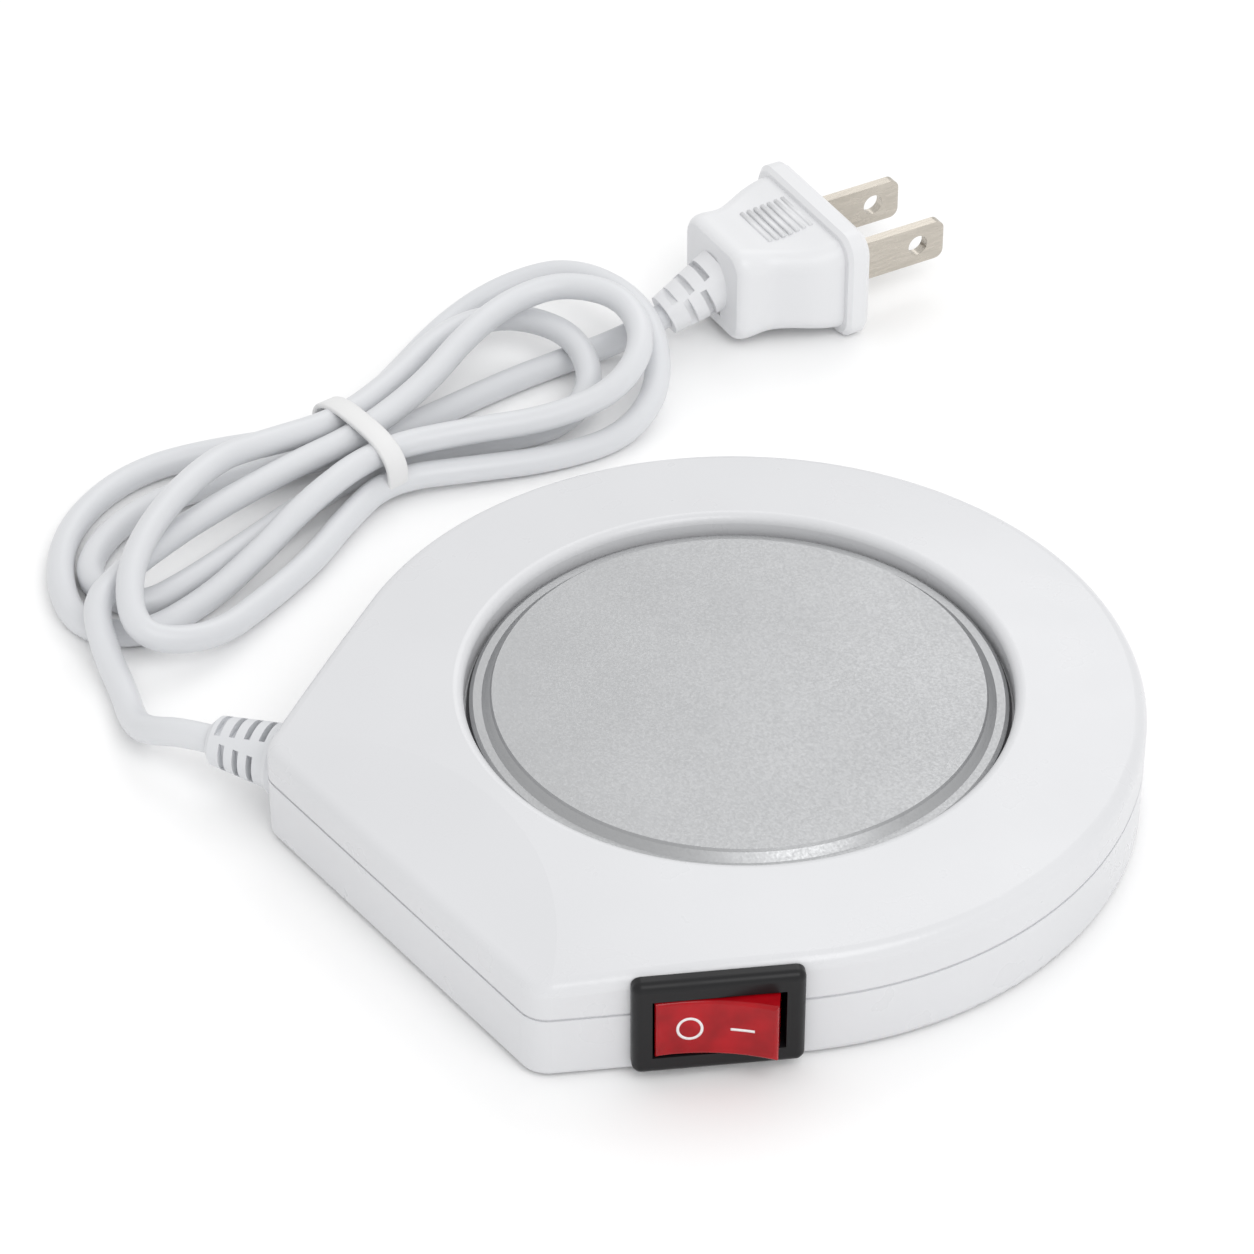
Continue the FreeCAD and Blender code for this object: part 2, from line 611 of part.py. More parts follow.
def make_switch():
    bw, bh = size("bezel_width") / 2, size("bezel_height") / 2
    w, t = size("switch_body_width") / 2, size("switch_body_height") / 2
    ow, oh = size("opening_width") / 2, size("opening_height") / 2
    proud, depth = size("bezel_proud"), size("switch_depth")
    rim = fixed_box("BezelRim", (-bw, -bh, 0), (bw, bh, proud))
    doc.recompute()
    rim = rounded("BezelCorners", rim, "1.2", lambda e: e.BoundBox.ZLength > proud - 0.1)
    rim = rounded("BezelBevel", rim, "1.1", lambda e: e.BoundBox.ZMin > proud - 0.01)
    block = fixed_box("SwitchBlock", (-w, -t, -depth), (w, t, 0.5))
    whole = fuse("SwitchWhole", rim, block)
    pin = size("pivot_radius") + 0.06
    tools = [fixed_box("SwitchHollow", (-ow, -oh, -depth + 1.2), (ow, oh, proud + 1)),
             fixed_cylinder("PivotHole", pin, 2 * t + 2, (0, -t - 1, 0), Vector(0, 1, 0))]
    for i, x in enumerate((-6, 0, 6)):
        tools.append(fixed_box("TerminalSlot%d" % i, (x - 0.4, -2.4, -depth - 1), (x + 0.4, 2.4, -depth + 2)))
    bodyshape = cut("SwitchHousing", whole, *tools)
    keep(bodyshape, "switch_housing", SWITCH)

    # rocker drawn level, then turned on its pivot to the off position
    rw, rh = size("rocker_width") / 2, size("rocker_height") / 2
    crown, dip = 3.5, 2.5
    arc = Part.Arc(Vector(rw, -rh, crown), Vector(0, -rh, dip), Vector(-rw, -rh, crown)).toShape()
    corners = [Vector(-rw, -rh, crown), Vector(-rw - 0.15, -rh, -0.5), Vector(-3.2, -rh, -2.6), Vector(3.2, -rh, -2.6),
               Vector(rw + 0.15, -rh, -0.5), Vector(rw, -rh, crown)]
    edges = [Part.LineSegment(a, b).toShape() for a, b in zip(corners, corners[1:])]
    face = Part.Face(Part.Wire([arc] + edges))
    block = doc.addObject("Part::Feature", "RockerBlock")
    block.Shape = face.extrude(Vector(0, 2 * rh, 0))
    doc.recompute()
    soft = rounded("RockerSoft", block, "0.5", lambda e: e.BoundBox.ZMin > 2.3)
    trunnion = fixed_cylinder("Trunnion", size("pivot_radius"), 2 * t - 0.1, (0, -t + 0.05, 0), Vector(0, 1, 0))
    whole = fuse("RockerWhole", soft, trunnion)
    pocket = fixed_cylinder("PlungerBore", 1.5, 4.0, (0, 0, -3.0))
    lamp_room = fixed_box("LampRoom", (3.0, -3.2, -2.0), (6.0, 3.2, 0.9))
    rocker = cut("SwitchRocker", whole, pocket, lamp_room)
    tilted = SWITCH.multiply(Placement(Vector(), Rotation(Vector(0, 1, 0), -size("rocker_tilt"))))
    keep(rocker, "switch_rocker", tilted)

    plunger = fuse("RockerPlunger", fixed_cylinder("PlungerStem", 1.2, 4.2, (0, 0, -6.2)),
                   doc.addObject("Part::Sphere", "PlungerTip"))
    plunger.Shapes[1].Radius = 1.2
    plunger.Shapes[1].Placement.Base = Vector(0, 0, -6.2)
    keep(plunger, "rocker_plunger", tilted)
    coils = []
    for i in range(6):
        coil = doc.addObject("Part::Torus", "SpringCoil%d" % i)
        coil.Radius1 = 1.0
        coil.Radius2 = 0.22
        coil.Placement.Base = Vector(0, 0, 0.4 * i)
        coils.append(coil)
    spring = fuse("RockerSpring", *coils)
    keep(spring, "rocker_spring", tilted.multiply(Placement(Vector(0, 0, -1.5), Rotation())))
    lamp = fixed_cylinder("NeonLamp", 1.2, 5.0, (4.5, -2.5, -0.6), Vector(0, 1, 0))
    keep(lamp, "neon_lamp", tilted)

    # see-saw contact arm on the middle terminal
    strip = fixed_box("ArmStrip", (-6.4, -1.6, -0.25), (6.4, 1.6, 0.25))
    buttons = [fixed_cylinder("ArmContact%d" % i, 1.1, 0.5, (x, 0, -0.7)) for i, x in enumerate((-5.2, 5.2))]
    arm = fuse("ContactArm", strip, *buttons)
    keep(arm, "contact_arm", SWITCH.multiply(Placement(Vector(0, 0, -8.0), Rotation(Vector(0, 1, 0), 5))))

    for name, x, top in (("terminal_common", 0, -8.7), ("terminal_load", 6, -9.5), ("terminal_lamp", -6, -10.0)):
        blade = fixed_box(name + "_blade", (x - 0.4, -2.4, -depth - size("terminal_length")), (x + 0.4, 2.4, top))
        hole = fixed_cylinder(name + "_hole", 0.8, 3, (x - 1.5, 0, -depth - size("terminal_length") + 1.8), Vector(1, 0, 0))
        keep(cut(name + "_cut", blade, hole), name, SWITCH)


# the lead inside the shell meets the free lead this far out in the strain relief
LEAD_MEETS = 5.0


def make_gland():
    out, inside = size("gland_out"), size("gland_in")
    bore = size("cord_diameter") / 2
    root, tip = size("gland_root_radius"), size("gland_tip_radius")
    profile = [(repr(bore), str(out)), (repr(tip - 0.8), str(out)), (repr(tip), str(out - 0.7)),
               (repr(root - 0.5), "1.6"), (repr(root), "0.9"), (repr(root), "0.0"), ("3.4", "0.0"),
               ("3.4", "-wall"), (repr(root), "-wall"), (repr(root), "-wall - 1.6"), ("3.0", "-wall - 1.6"),
               ("2.8", "-%g" % inside), (repr(bore), "-%g" % inside)]
    blank = turned("GlandBlank", profile)
    tools = []
    pitch, slot = 2.15, 0.85
    for i in range(4):
        z = 1.9 + i * pitch
        for side in range(4):
            turn = Rotation(UP, 90 * side)
            cutter = fixed_box("GlandSlot%d%d" % (i, side), (-2.1, bore + 0.5, z + (pitch / 2 if side % 2 else 0)),
                               (2.1, 8, z + slot + (pitch / 2 if side % 2 else 0)))
            cutter.Placement = Placement(Vector(), turn).multiply(cutter.Placement)
            if z + slot + pitch / 2 < out - 0.6 or side % 2 == 0:
                tools.append(cutter)
    keep(cut("CordGland", blank, *tools), "cord_gland", GLAND)
    inner = fixed_cylinder("LeadInside", bore, inside + 7 + LEAD_MEETS, (0, 0, -inside - 7))
    keep(inner, "lead_inside", GLAND)
    bar = fixed_box("ClampBar", (-5.5, 2.0, -15.0), (5.5, 4.0, -11.0))
    holes = [fixed_cylinder("ClampBarHole%d" % i, 1.0, 6, (x, 0, -13.0), Vector(0, 1, 0)) for i, x in enumerate((-4.2, 4.2))]
    keep(cut("CordClamp", bar, *holes), "cord_clamp", GLAND)
    screws = []
    for i, x in enumerate((-4.2, 4.2)):
        shank = fixed_cylinder("ClampBolt%d" % i, 0.8, 9.3, (x, -5.3, -13.0), Vector(0, 1, 0))
        head = fixed_cylinder("ClampBoltHead%d" % i, 1.2, 0.9, (x, 4.0, -13.0), Vector(0, 1, 0))
        screws.append(fuse("ClampBoltWhole%d" % i, shank, head))
    keep(group("CordClampScrews", *screws), "cord_clamp_screws", GLAND)


def make_fasteners_and_feet():
    screws = []
    for i, (x, y) in enumerate(BOSSES):
        shank = cylinder("ScrewShank%d" % i, "screw_radius", "9.0", x, y, "3.9")
        head = cylinder("ScrewHead%d" % i, "screw_head_radius", "1.8", x, y, "2.1")
        recess = cylinder("ScrewRecess%d" % i, "0.9", "1.2", x, y, "1.9")
        screws.append(cut("HousingScrew%d" % i, fuse("ScrewBlank%d" % i, shank, head), recess))
    keep(group("HousingScrews", *screws), "housing_screws")
    for name, (x, y) in zip(("foot_right_flat_end", "foot_right_round_end", "foot_left_round_end", "foot_left_flat_end"), FEET):
        pad = cylinder(name + "_pad", "foot_radius - 0.1", "1.3", x, y, "0")
        keep(rounded(name + "_soft", pad, "0.3", lambda e: e.BoundBox.ZMax < 0.01), name)


def make_wires():
    """Insulated wires inside the shell: straight runs between bends."""
    def run(name, points):
        wire, radii = tube_wire([Vector(*point) for point in points])
        swept(name, wire, 0.8)

    low = 3.6
    lead_end = -size("gland_in") - 7

    def from_lead(side):
        return [GLAND.multVec(Vector(side, 0, lead_end - 0.1)), GLAND.multVec(Vector(side, 0, lead_end - 4.5))]

    def to_terminal(x):
        return SWITCH.multVec(Vector(x, 0, -size("switch_depth") - size("terminal_length") - 0.7))

    run("live_wire", from_lead(0.95) + [(-6, -35, low), (14, -33, low), to_terminal(0)])
    run("switched_wire", [to_terminal(6), (22, -8, low), (19, 13, low + 1.2), (18.2, 13, 8.1)])
    splice = 3.95
    run("neutral_wire", from_lead(-0.95) + [(-21, -18, splice), (-15.5, 8, splice), (-14, 9, 4.2)])
    start = Vector(-19.35, -10.2, splice)
    along = Vector(5.5, 26, 0)
    cap = cut("CrimpConnector", fixed_cylinder("CrimpOuter", 1.3, 8, start, along),
              fixed_cylinder("CrimpBore", 0.8, 10, start - Vector(along).normalize(), along))
    keep(cap, "crimp_connector")


# Mains lead.

def tube_wire(points, turn_share=0.45):
    """Straight runs joined by tangent arcs through a list of points."""
    edges = []
    radii = []
    start = points[0]
    for i in range(1, len(points) - 1):
        before = points[i] - points[i - 1]
        after = points[i + 1] - points[i]
        half = before.getAngle(after) / 2
        shorter = min(before.Length, after.Length)
        reach = turn_share * shorter
        radii.append(reach / math.tan(half))
        d1, d2 = Vector(before).normalize(), Vector(after).normalize()
        a = points[i] - d1 * reach
        b = points[i] + d2 * reach
        bisector = (d2 - d1).normalize()
        centre = points[i] + bisector * (reach / math.sin(half))
        middle = centre - bisector * radii[-1]
        if (a - start).Length > 1e-6:
            edges.append(Part.LineSegment(start, a).toShape())
        edges.append(Part.Arc(a, middle, b).toShape())
        start = b
    edges.append(Part.LineSegment(start, points[-1]).toShape())
    return Part.Wire(edges), radii


def swept(name, wire, radius):
    """Round tube along a wire, with its volume set against section and length."""
    first = wire.Edges[0]
    start = first.valueAt(first.FirstParameter)
    ring = Part.Wire(Part.Circle(start, first.tangentAt(first.FirstParameter), radius).toShape())
    tube = doc.addObject("Part::Feature", name + "_tube")
    tube.Shape = wire.makePipeShell([ring], True, False)
    if tube.Shape.Volume < 0:
        tube.Shape = tube.Shape.reversed()
    expected = math.pi * radius * radius * wire.Length
    print("%s: length %.1f, volume over section times length %.4f" % (name, wire.Length, tube.Shape.Volume / expected))
    keep(tube, name)


# Hank frame: u towards the plug along +Y, v across towards -X.
HANK_X = -86.0
STRAND_PITCH = 4.4
LOW_LAYER = 3.0
TOP_LAYER = 6.9
WAIST = {
    "far_out": (1.5, LOW_LAYER), "far_in": (0.5, LOW_LAYER), "near_in": (-0.5, LOW_LAYER),
    "near_out": (-1.5, LOW_LAYER), "top_far": (1, TOP_LAYER), "top_mid": (0, TOP_LAYER), "top_near": (-1, TOP_LAYER),
}
# loop end: tip, near side, far side, heights at near side, tip and far side
LOOPS = {
    ("flat", "outer"): (-52.0, -14.4, 17.9, 2.1, 1.9, 1.9),
    ("flat", "inner"): (-45.0, -9.6, 13.4, 1.9, 1.9, 1.9),
    ("flat", "upper"): (-39.5, -19.6, 3.8, 2.45, 10.8, 11.4),
    ("plug", "outer"): (48.5, -17.5, 17.5, 1.9, 8.4, 4.8),
    ("plug", "upper"): (45.6, -13.3, 10.0, 6.7, 12.4, 11.2),
    ("plug", "inner"): (39.0, -9.6, 13.6, 1.9, 6.3, 6.6),
}
# two points on the run from the waist to each side of a loop end
RUNS = {
    ("flat", "outer", "near"): ((-14, -8.2, 6.6), (-24, -12.6, 3.9)),
    ("flat", "inner", "near"): ((-14, -4.4, 2.4), (-24, -7.6, 1.95)),
    ("flat", "upper", "near"): ((-10, -10.6, 2.6), (-18, -16.2, 2.35)),
    ("flat", "outer", "far"): ((-14, 12.4, 2.4), (-24, 16.8, 2.0)),
    ("flat", "inner", "far"): ((-14, 6.6, 2.3), (-24, 11.3, 2.0)),
    ("flat", "upper", "far"): ((-14, 4.6, 8.6), (-22, 4.0, 10.6)),
    ("plug", "outer", "near"): ((12, -11.6, 2.5), (22, -16.4, 2.0)),
    ("plug", "upper", "near"): ((13, -7.9, 6.9), (23, -11.9, 6.7)),
    ("plug", "inner", "near"): ((12, -4.6, 2.3), (20, -7.9, 2.0)),
    ("plug", "outer", "far"): ((13, 12.6, 2.6), (23, 16.4, 3.2)),
    ("plug", "upper", "far"): ((13, 2.6, 8.4), (24, 7.3, 10.2)),
    ("plug", "inner", "far"): ((12, 8.2, 6.9), (20, 12.2, 6.7)),
}
LEAD_IN = ((-53.5, -21.0, 1.95), (-50.0, -16.5, 3.2), (-45.5, -12.0, 6.3), (-40.5, -7.0, 6.3), (-34.0, -3.2, 6.4), (-20.0, -0.9, 6.6))
LEAD_OUT = ((14.0, 2.9, 2.2), (28.0, 3.6, 2.0), (38.0, 2.9, 2.05), (45.0, 1.9, 2.4))
HANK_START = (LEAD_IN[0], (0.6, 0.79, 0.0))
HANK_END = ((54.0, 0.0, 5.0), (0.937, -0.136, 0.32))
LOOP_ORDER = (("plug", "upper", "top_near"), ("flat", "outer", "far_out"), ("plug", "outer", "near_out"),
              ("flat", "upper", "top_far"), ("plug", "inner", "near_in"), ("flat", "inner", "far_in"))


def loop_stations(end, loop, slot):
    """Points and headings of one loop end, from the waist and back to it."""
    tip, near, far, z_near, z_tip, z_far = LOOPS[end, loop]
    side = 1 if end == "plug" else -1
    radius = (far - near) / 2
    middle = (far + near) / 2
    shoulder = tip - side * radius
    slant = radius * math.sqrt(0.5)
    bend = [
        ((shoulder, near, z_near), (side, 0)),
        ((shoulder + side * slant, middle - slant, (z_near + z_tip) / 2), (side, 1)),
        ((tip, middle, z_tip), (0, 1)),
        ((shoulder + side * slant, middle + slant, (z_tip + z_far) / 2), (-side, 1)),
        ((shoulder, far, z_far), (-side, 0)),
    ]
    out_side, back_side = "near", "far"
    if end == "plug":
        bend = [(point, (-heading[0], -heading[1])) for point, heading in reversed(bend)]
        out_side, back_side = "far", "near"
    out = [(point, None) for point in RUNS[end, loop, out_side]]
    back = [(point, None) for point in reversed(RUNS[end, loop, back_side])]
    step, z = WAIST[slot]
    return out + bend + back + [((0.0, step * STRAND_PITCH, z), (-side, 0))]


def hank_stations():
    step, z = WAIST["top_mid"]
    stations = [(point, None) for point in LEAD_IN] + [((0.0, step * STRAND_PITCH, z), (1, 0))]
    stations[0] = (LEAD_IN[0], HANK_START[1])
    for end, loop, slot in LOOP_ORDER:
        stations += loop_stations(end, loop, slot)
    stations += [(point, None) for point in LEAD_OUT]
    end, heading = HANK_END
    unit = math.sqrt(sum(c * c for c in heading))
    before = tuple(c - size("cord_diameter") * h / unit for c, h in zip(end, heading))
    return stations + [(before, heading)]


def hank_place(u, v, z):
    return Vector(HANK_X - v, u + size("plate_axis_y"), z)


def hank_biarcs():
    """Pairs of tangent arcs through the stations, each as start, corner, end."""
    stations = hank_stations()
    points = [hank_place(*point) for point, heading in stations]
    tangents = []
    for i, (point, heading) in enumerate(stations):
        before = points[i] - points[max(i - 1, 0)]
        after = points[min(i + 1, len(points) - 1)] - points[i]
        if before.Length < 1e-9:
            tangent = after
        elif after.Length < 1e-9:
            tangent = before
        else:
            tangent = before * (after.Length / before.Length) + after * (before.Length / after.Length)
        tangent = Vector(tangent).normalize()
        if heading is not None and len(heading) == 3:
            tangent = Vector(-heading[1], heading[0], heading[2]).normalize()
        elif heading is not None:
            rise = 0.0 if point[2] < 2.0 else tangent.z
            level = math.sqrt(1 - rise ** 2) / math.hypot(*heading)
            tangent = Vector(-heading[1] * level, heading[0] * level, rise)
        tangents.append(tangent)
    arcs = []
    for p, q, s, t in zip(points, points[1:], tangents, tangents[1:]):
        span = q - p
        total = s + t
        closing = 2 * (1 - s.dot(t))
        if closing < 1e-9:
            reach = span.dot(span) / (4 * span.dot(s))
        else:
            reach = (-span.dot(total) + math.sqrt(span.dot(total) ** 2 + closing * span.dot(span))) / closing
        first, second = p + s * reach, q - t * reach
        middle = (first + second) * 0.5
        arcs.append((p, first, middle))
        arcs.append((middle, second, q))
    return arcs, tangents


def arc_edge(start, corner, end):
    """Arc tangent to start-corner and corner-end."""
    d1, d2 = Vector(corner - start).normalize(), Vector(end - corner).normalize()
    half = d1.getAngle(d2) / 2
    if half < 2e-4:
        return Part.LineSegment(start, end).toShape(), None
    reach = (corner - start).Length
    bisector = Vector(d2 - d1).normalize()
    radius = reach / math.tan(half)
    middle = corner + bisector * (reach / math.sin(half) - radius)
    return Part.Arc(start, middle, end).toShape(), radius


def report_hank(edges, radii):
    """Print the hank's length, tightest bend and least gap to itself."""
    points = []
    travelled = 0.0
    for edge in edges:
        count = max(2, int(edge.Length / 0.8))
        for k in range(count):
            share = k / count
            value = edge.valueAt(edge.FirstParameter + (edge.LastParameter - edge.FirstParameter) * share)
            points.append((travelled + edge.Length * share, value.x, value.y, value.z))
        travelled += edge.Length
    least = 99.0
    where = None
    for i, (s, x, y, z) in enumerate(points):
        for other, a, b, c in points[i + 1:]:
            if other - s > 14 and abs(a - x) < 6 and abs(b - y) < 6:
                apart = math.sqrt((a - x) ** 2 + (b - y) ** 2 + (c - z) ** 2)
                if apart < least:
                    least = apart
                    where = (round(x, 1), round(y, 1), round(z, 1)), (round(a, 1), round(b, 1), round(c, 1))
    print("hank: length %.1f, tightest bend %.1f" % (travelled, min(radii)))
    print("least gap to itself %.2f, between" % (least - size("cord_diameter")), *where)
    lowest = min(points, key=lambda item: item[3])
    print("lowest underside %.2f at" % (lowest[3] - size("cord_diameter") / 2), lowest[1:])


def make_lead():
    radius = size("cord_diameter") / 2
    arcs, tangents = hank_biarcs()
    start = arcs[0][0] - tangents[0] * size("cord_diameter")
    finish = arcs[-1][2] + tangents[-1] * size("cord_diameter")
    route = [GLAND.multVec(Vector(0, 0, LEAD_MEETS)), GLAND.multVec(Vector(0, 0, size("gland_out") + 5.6)),
             Vector(-52.8, -58.3, 2.7), start - tangents[0] * 5.2, start]
    wire, radii = tube_wire(route)
    print("cord route", [tuple(round(c, 2) for c in point) for point in route])
    print("cord radii", [round(r, 1) for r in radii])
    swept("cord", wire, radius)
    edges = [Part.LineSegment(start, arcs[0][0]).toShape()]
    bends = []
    for point, corner, following in arcs:
        edge, bend = arc_edge(point, corner, following)
        edges.append(edge)
        if bend:
            bends.append(bend)
    edges.append(Part.LineSegment(arcs[-1][2], finish).toShape())
    report_hank(edges, bends)
    print("hank starts at", tuple(round(c, 2) for c in start), "heading", tuple(round(c, 3) for c in tangents[0]))
    print("hank ends at", tuple(round(c, 2) for c in finish), "heading", tuple(round(c, 3) for c in tangents[-1]))
    swept("cord_hank", Part.Wire(edges), radius)


def make_tie():
    """Flat closed band round the hank's waist."""
    def oval(grow):
        half, low, high = 8.9 + grow, 0.95 - grow, 9.0 + grow
        r = 3.4 + grow
        crown = 0.9
        points = [Vector(-half + r, 0, low), Vector(half - r, 0, low)]
        k = math.sqrt(0.5)
        edges = [Part.LineSegment(points[0], points[1]).toShape()]
        edges.append(Part.Arc(points[1], Vector(half - r + r * k, 0, low + r - r * k), Vector(half, 0, low + r)).toShape())
        top = high - crown
        edges.append(Part.LineSegment(Vector(half, 0, low + r), Vector(half, 0, top - r)).toShape() if top - r > low + r + 0.01 else None)
        side = max(top - r, low + r)
        edges.append(Part.Arc(Vector(half, 0, side), Vector(half - r + r * k, 0, side + r * k), Vector(half - r, 0, side + r)).toShape())
        edges.append(Part.Arc(Vector(half - r, 0, side + r), Vector(0, 0, side + r + crown * 0.35), Vector(-half + r, 0, side + r)).toShape())
        edges.append(Part.Arc(Vector(-half + r, 0, side + r), Vector(-half + r - r * k, 0, side + r * k), Vector(-half, 0, side)).toShape())
        if side > low + r + 0.01:
            edges.append(Part.LineSegment(Vector(-half, 0, side), Vector(-half, 0, low + r)).toShape())
        edges.append(Part.Arc(Vector(-half, 0, low + r), Vector(-half + r - r * k, 0, low + r - r * k), Vector(-half + r, 0, low)).toShape())
        return Part.Face(Part.Wire([e for e in edges if e is not None]))
    band = doc.addObject("Part::Feature", "HankTie")
    outer = oval(0.85).extrude(Vector(0, 3.0, 0))
    inner = oval(0.0).extrude(Vector(0, 3.0, 0))
    band.Shape = outer.cut(inner)
    keep(band, "hank_tie", Placement(Vector(HANK_X, size("plate_axis_y") - 1.5, 0), Rotation()))


# Plug frame: X across the blades, Y up, Z along the blades, origin where the lead enters.
PLUG_START = hank_place(*HANK_END[0])
HEADING = math.radians(size("plug_heading"))
PLUG_AXIS = Vector(math.sin(HEADING), math.cos(HEADING), 0)
PLUG_SIDE = Vector(math.cos(HEADING), -math.sin(HEADING), 0)
RELIEF_SLOPE = 18.0
RELIEF_RUN = 8.0
PLUG_Z = size("flange_height") / 2
PLUG_BACK = Vector(PLUG_START.x, PLUG_START.y, 0) + PLUG_AXIS * RELIEF_RUN + UP * PLUG_Z
PLUG = Placement(PLUG_BACK, Rotation(PLUG_SIDE * -1, UP, PLUG_AXIS, "ZXY"))


def rounded_rectangle(width, height, radius, z):
    w, t = width / 2, height / 2
    k = radius * (1 - math.sqrt(0.5))
    edges = []
    corners = [(w, t), (-w, t), (-w, -t), (w, -t)]
    for i, (x, y) in enumerate(corners):
        sx, sy = math.copysign(1, x), math.copysign(1, y)
        a = Vector(x, y - sy * radius, z)
        b = Vector(x - sx * radius, y, z)
        if i % 2:
            a, b = b, a
        edges.append(Part.Arc(a, Vector(x - sx * k, y - sy * k, z), b).toShape())
        following = corners[(i + 1) % 4]
        nx, ny = following
        mx, my = math.copysign(1, nx), math.copysign(1, ny)
        if i % 2:
            start, finish = Vector(x, y - sy * radius, z), Vector(nx, ny - my * radius, z)
        else:
            start, finish = Vector(x - sx * radius, y, z), Vector(nx - mx * radius, ny, z)
        edges.append(Part.LineSegment(start, finish).toShape())
    return Part.Wire(edges)


def make_plug():
    height = size("flange_height")
    sections = ((0.0, 14.6, 13.4, 2.6), (0.9, 16.0, 14.8, 3.0), (3.4, 16.6, 14.6, 3.0), (6.6, 18.4, 13.4, 2.8),
                (10.4, 22.4, 13.4, 2.8), (14.4, 24.2, 14.6, 2.8), (17.0, 24.2, 14.8, 2.8))
    body = Part.makeLoft([rounded_rectangle(w, h, r, z) for z, w, h, r in sections], True, False)
    flange = Part.makeLoft([rounded_rectangle(w, h, r, z) for z, w, h, r in
                            ((15.4, 26.0, height - 1.2, 3.2), (16.0, 27.0, height, 3.4), (18.2, 27.0, height, 3.4),
                             (size("plug_length"), 25.8, height - 1.2, 3.0))], True, True)
    # ribbed strain relief from the lead up into the back of the plug
    start = PLUG.inverse().multVec(PLUG_START)
    axis = Vector(0, 0, 1.5) - start
    length = axis.Length
    relief = Part.makeCone(3.1, 4.6, length, start, axis)
    turn = Rotation(UP, axis)
    slots = []
    for i in range(3):
        for side in range(4):
            at = 1.2 + i * 2.9 + (1.45 if side % 2 else 0)
            if at + 1.0 > length - 1.8:
                continue
            cutter = Part.makeBox(5.0, 6, 1.0, Vector(-2.5, 2.6, at))
            cutter.Placement = Placement(start, turn.multiply(Rotation(UP, 90 * side)))
            slots.append(cutter)
    whole = body.fuse([flange, relief]).removeSplitter()
    bore = Part.makeCylinder(size("cord_diameter") / 2, 5.0, start - Vector(axis).normalize() * 0.5, axis)
    blades = []
    half = size("blade_spacing") / 2
    wide, thick = size("blade_width") / 2, size("blade_thickness") / 2
    root = size("plug_length") - 7
    for side in (-1, 1):
        blades.append(Part.makeBox(2 * thick, 2 * wide, 8, Vector(side * half - thick, -wide, root)))
    plug = doc.addObject("Part::Feature", "PlugBody")
    plug.Shape = whole.cut(slots + blades)
    plug.Placement = PLUG
    keep(plug, "plug_body")
    end = size("plug_length") + size("blade_length")
    for name, side in (("blade_neutral", -1), ("blade_live", 1)):
        blade = Part.makeBox(2 * thick, 2 * wide, end - root, Vector(side * half - thick, -wide, root))
        tips = [e for e in blade.Edges if e.BoundBox.ZMin > end - 0.01 and e.BoundBox.XLength > 1]
        blade = blade.makeFillet(1.4, tips)
        hole = Part.makeCylinder(size("blade_hole_radius"), 4, Vector(side * half - 2, 0, end - 4.4), Vector(1, 0, 0))
        feature = doc.addObject("Part::Feature", name + "_strip")
        feature.Shape = blade.cut(hole)
        feature.Placement = PLUG
        keep(feature, name)


make_upper_housing()
make_lower_housing()
make_plate()
make_heater()
make_switch()
make_gland()
make_fasteners_and_feet()
make_wires()
make_lead()
make_tie()
make_plug()

doc.recompute()
failed = [obj.Name for obj in doc.Objects if "Invalid" in obj.State or "Error" in obj.State]
for name, obj in parts.items():
    shape = obj.Shape
    if shape.isNull() or not shape.isValid() or not shape.Solids:
        failed.append(name)
if failed:
    print("failed:", failed)
    sys.exit(1)
os.makedirs("parts", exist_ok=True)
for name, obj in parts.items():
    obj.Shape.exportStep("parts/%s.step" % name)
    print(name, len(obj.Shape.Solids), round(obj.Shape.Volume, 1))
print("pivot", tuple(round(c, 3) for c in SWITCH_POINT), "arm", tuple(round(c, 3) for c in SWITCH.multVec(Vector(0, 0, -8.0))))
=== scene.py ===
import math

import bmesh
import bpy
from mathutils import Matrix, Vector


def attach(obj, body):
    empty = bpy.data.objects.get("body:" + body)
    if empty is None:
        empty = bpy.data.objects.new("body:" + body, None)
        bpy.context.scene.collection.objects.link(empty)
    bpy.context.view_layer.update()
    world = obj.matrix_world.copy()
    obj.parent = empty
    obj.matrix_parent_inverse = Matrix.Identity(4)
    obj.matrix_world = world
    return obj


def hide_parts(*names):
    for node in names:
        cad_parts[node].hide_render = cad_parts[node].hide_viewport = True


bl_info = {
    "name": "Electric Mug Warmer",
    "version": (1, 0, 0),
    "blender": (4, 5, 0),
    "location": "View3D > Sidebar > Mug Warmer",
    "description": "Finishes and soft pieces of an electric mug warmer with a tied lead",
    "category": "Object",
}

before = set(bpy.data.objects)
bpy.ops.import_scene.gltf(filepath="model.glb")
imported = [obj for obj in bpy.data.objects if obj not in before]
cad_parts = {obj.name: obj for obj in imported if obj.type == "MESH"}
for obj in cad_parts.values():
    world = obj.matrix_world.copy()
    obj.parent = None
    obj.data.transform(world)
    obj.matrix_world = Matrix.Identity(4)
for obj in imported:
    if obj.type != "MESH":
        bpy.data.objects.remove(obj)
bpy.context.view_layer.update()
MM = 0.001

# The switch face: along the shell's right side, up, and out of the wall.
SWITCH_CENTRE = Vector((40.018, -33.688, 8.4)) * MM
SWITCH_ALONG = Vector((0.5, math.sqrt(0.75), 0.0))
SWITCH_OUT = Vector((math.sqrt(0.75), -0.5, 0.0))
ROCKER_REST = math.radians(-10.0)

# Rocker face at rest: how far the middle stands out, and how fast it rises to its ends.
ROCKER_STAND = 2.5
ROCKER_HOLLOW = 7.4
MARK_SUNK = -0.12
MARK_PROUD = 0.03

# Plug: its heading in degrees, and in millimetres where the lead ends and its relief.
PLUG_HEADING = 8.0
LEAD_END = (-86.0, 55.0, 0.0)
PLUG_RELIEF = 8.0

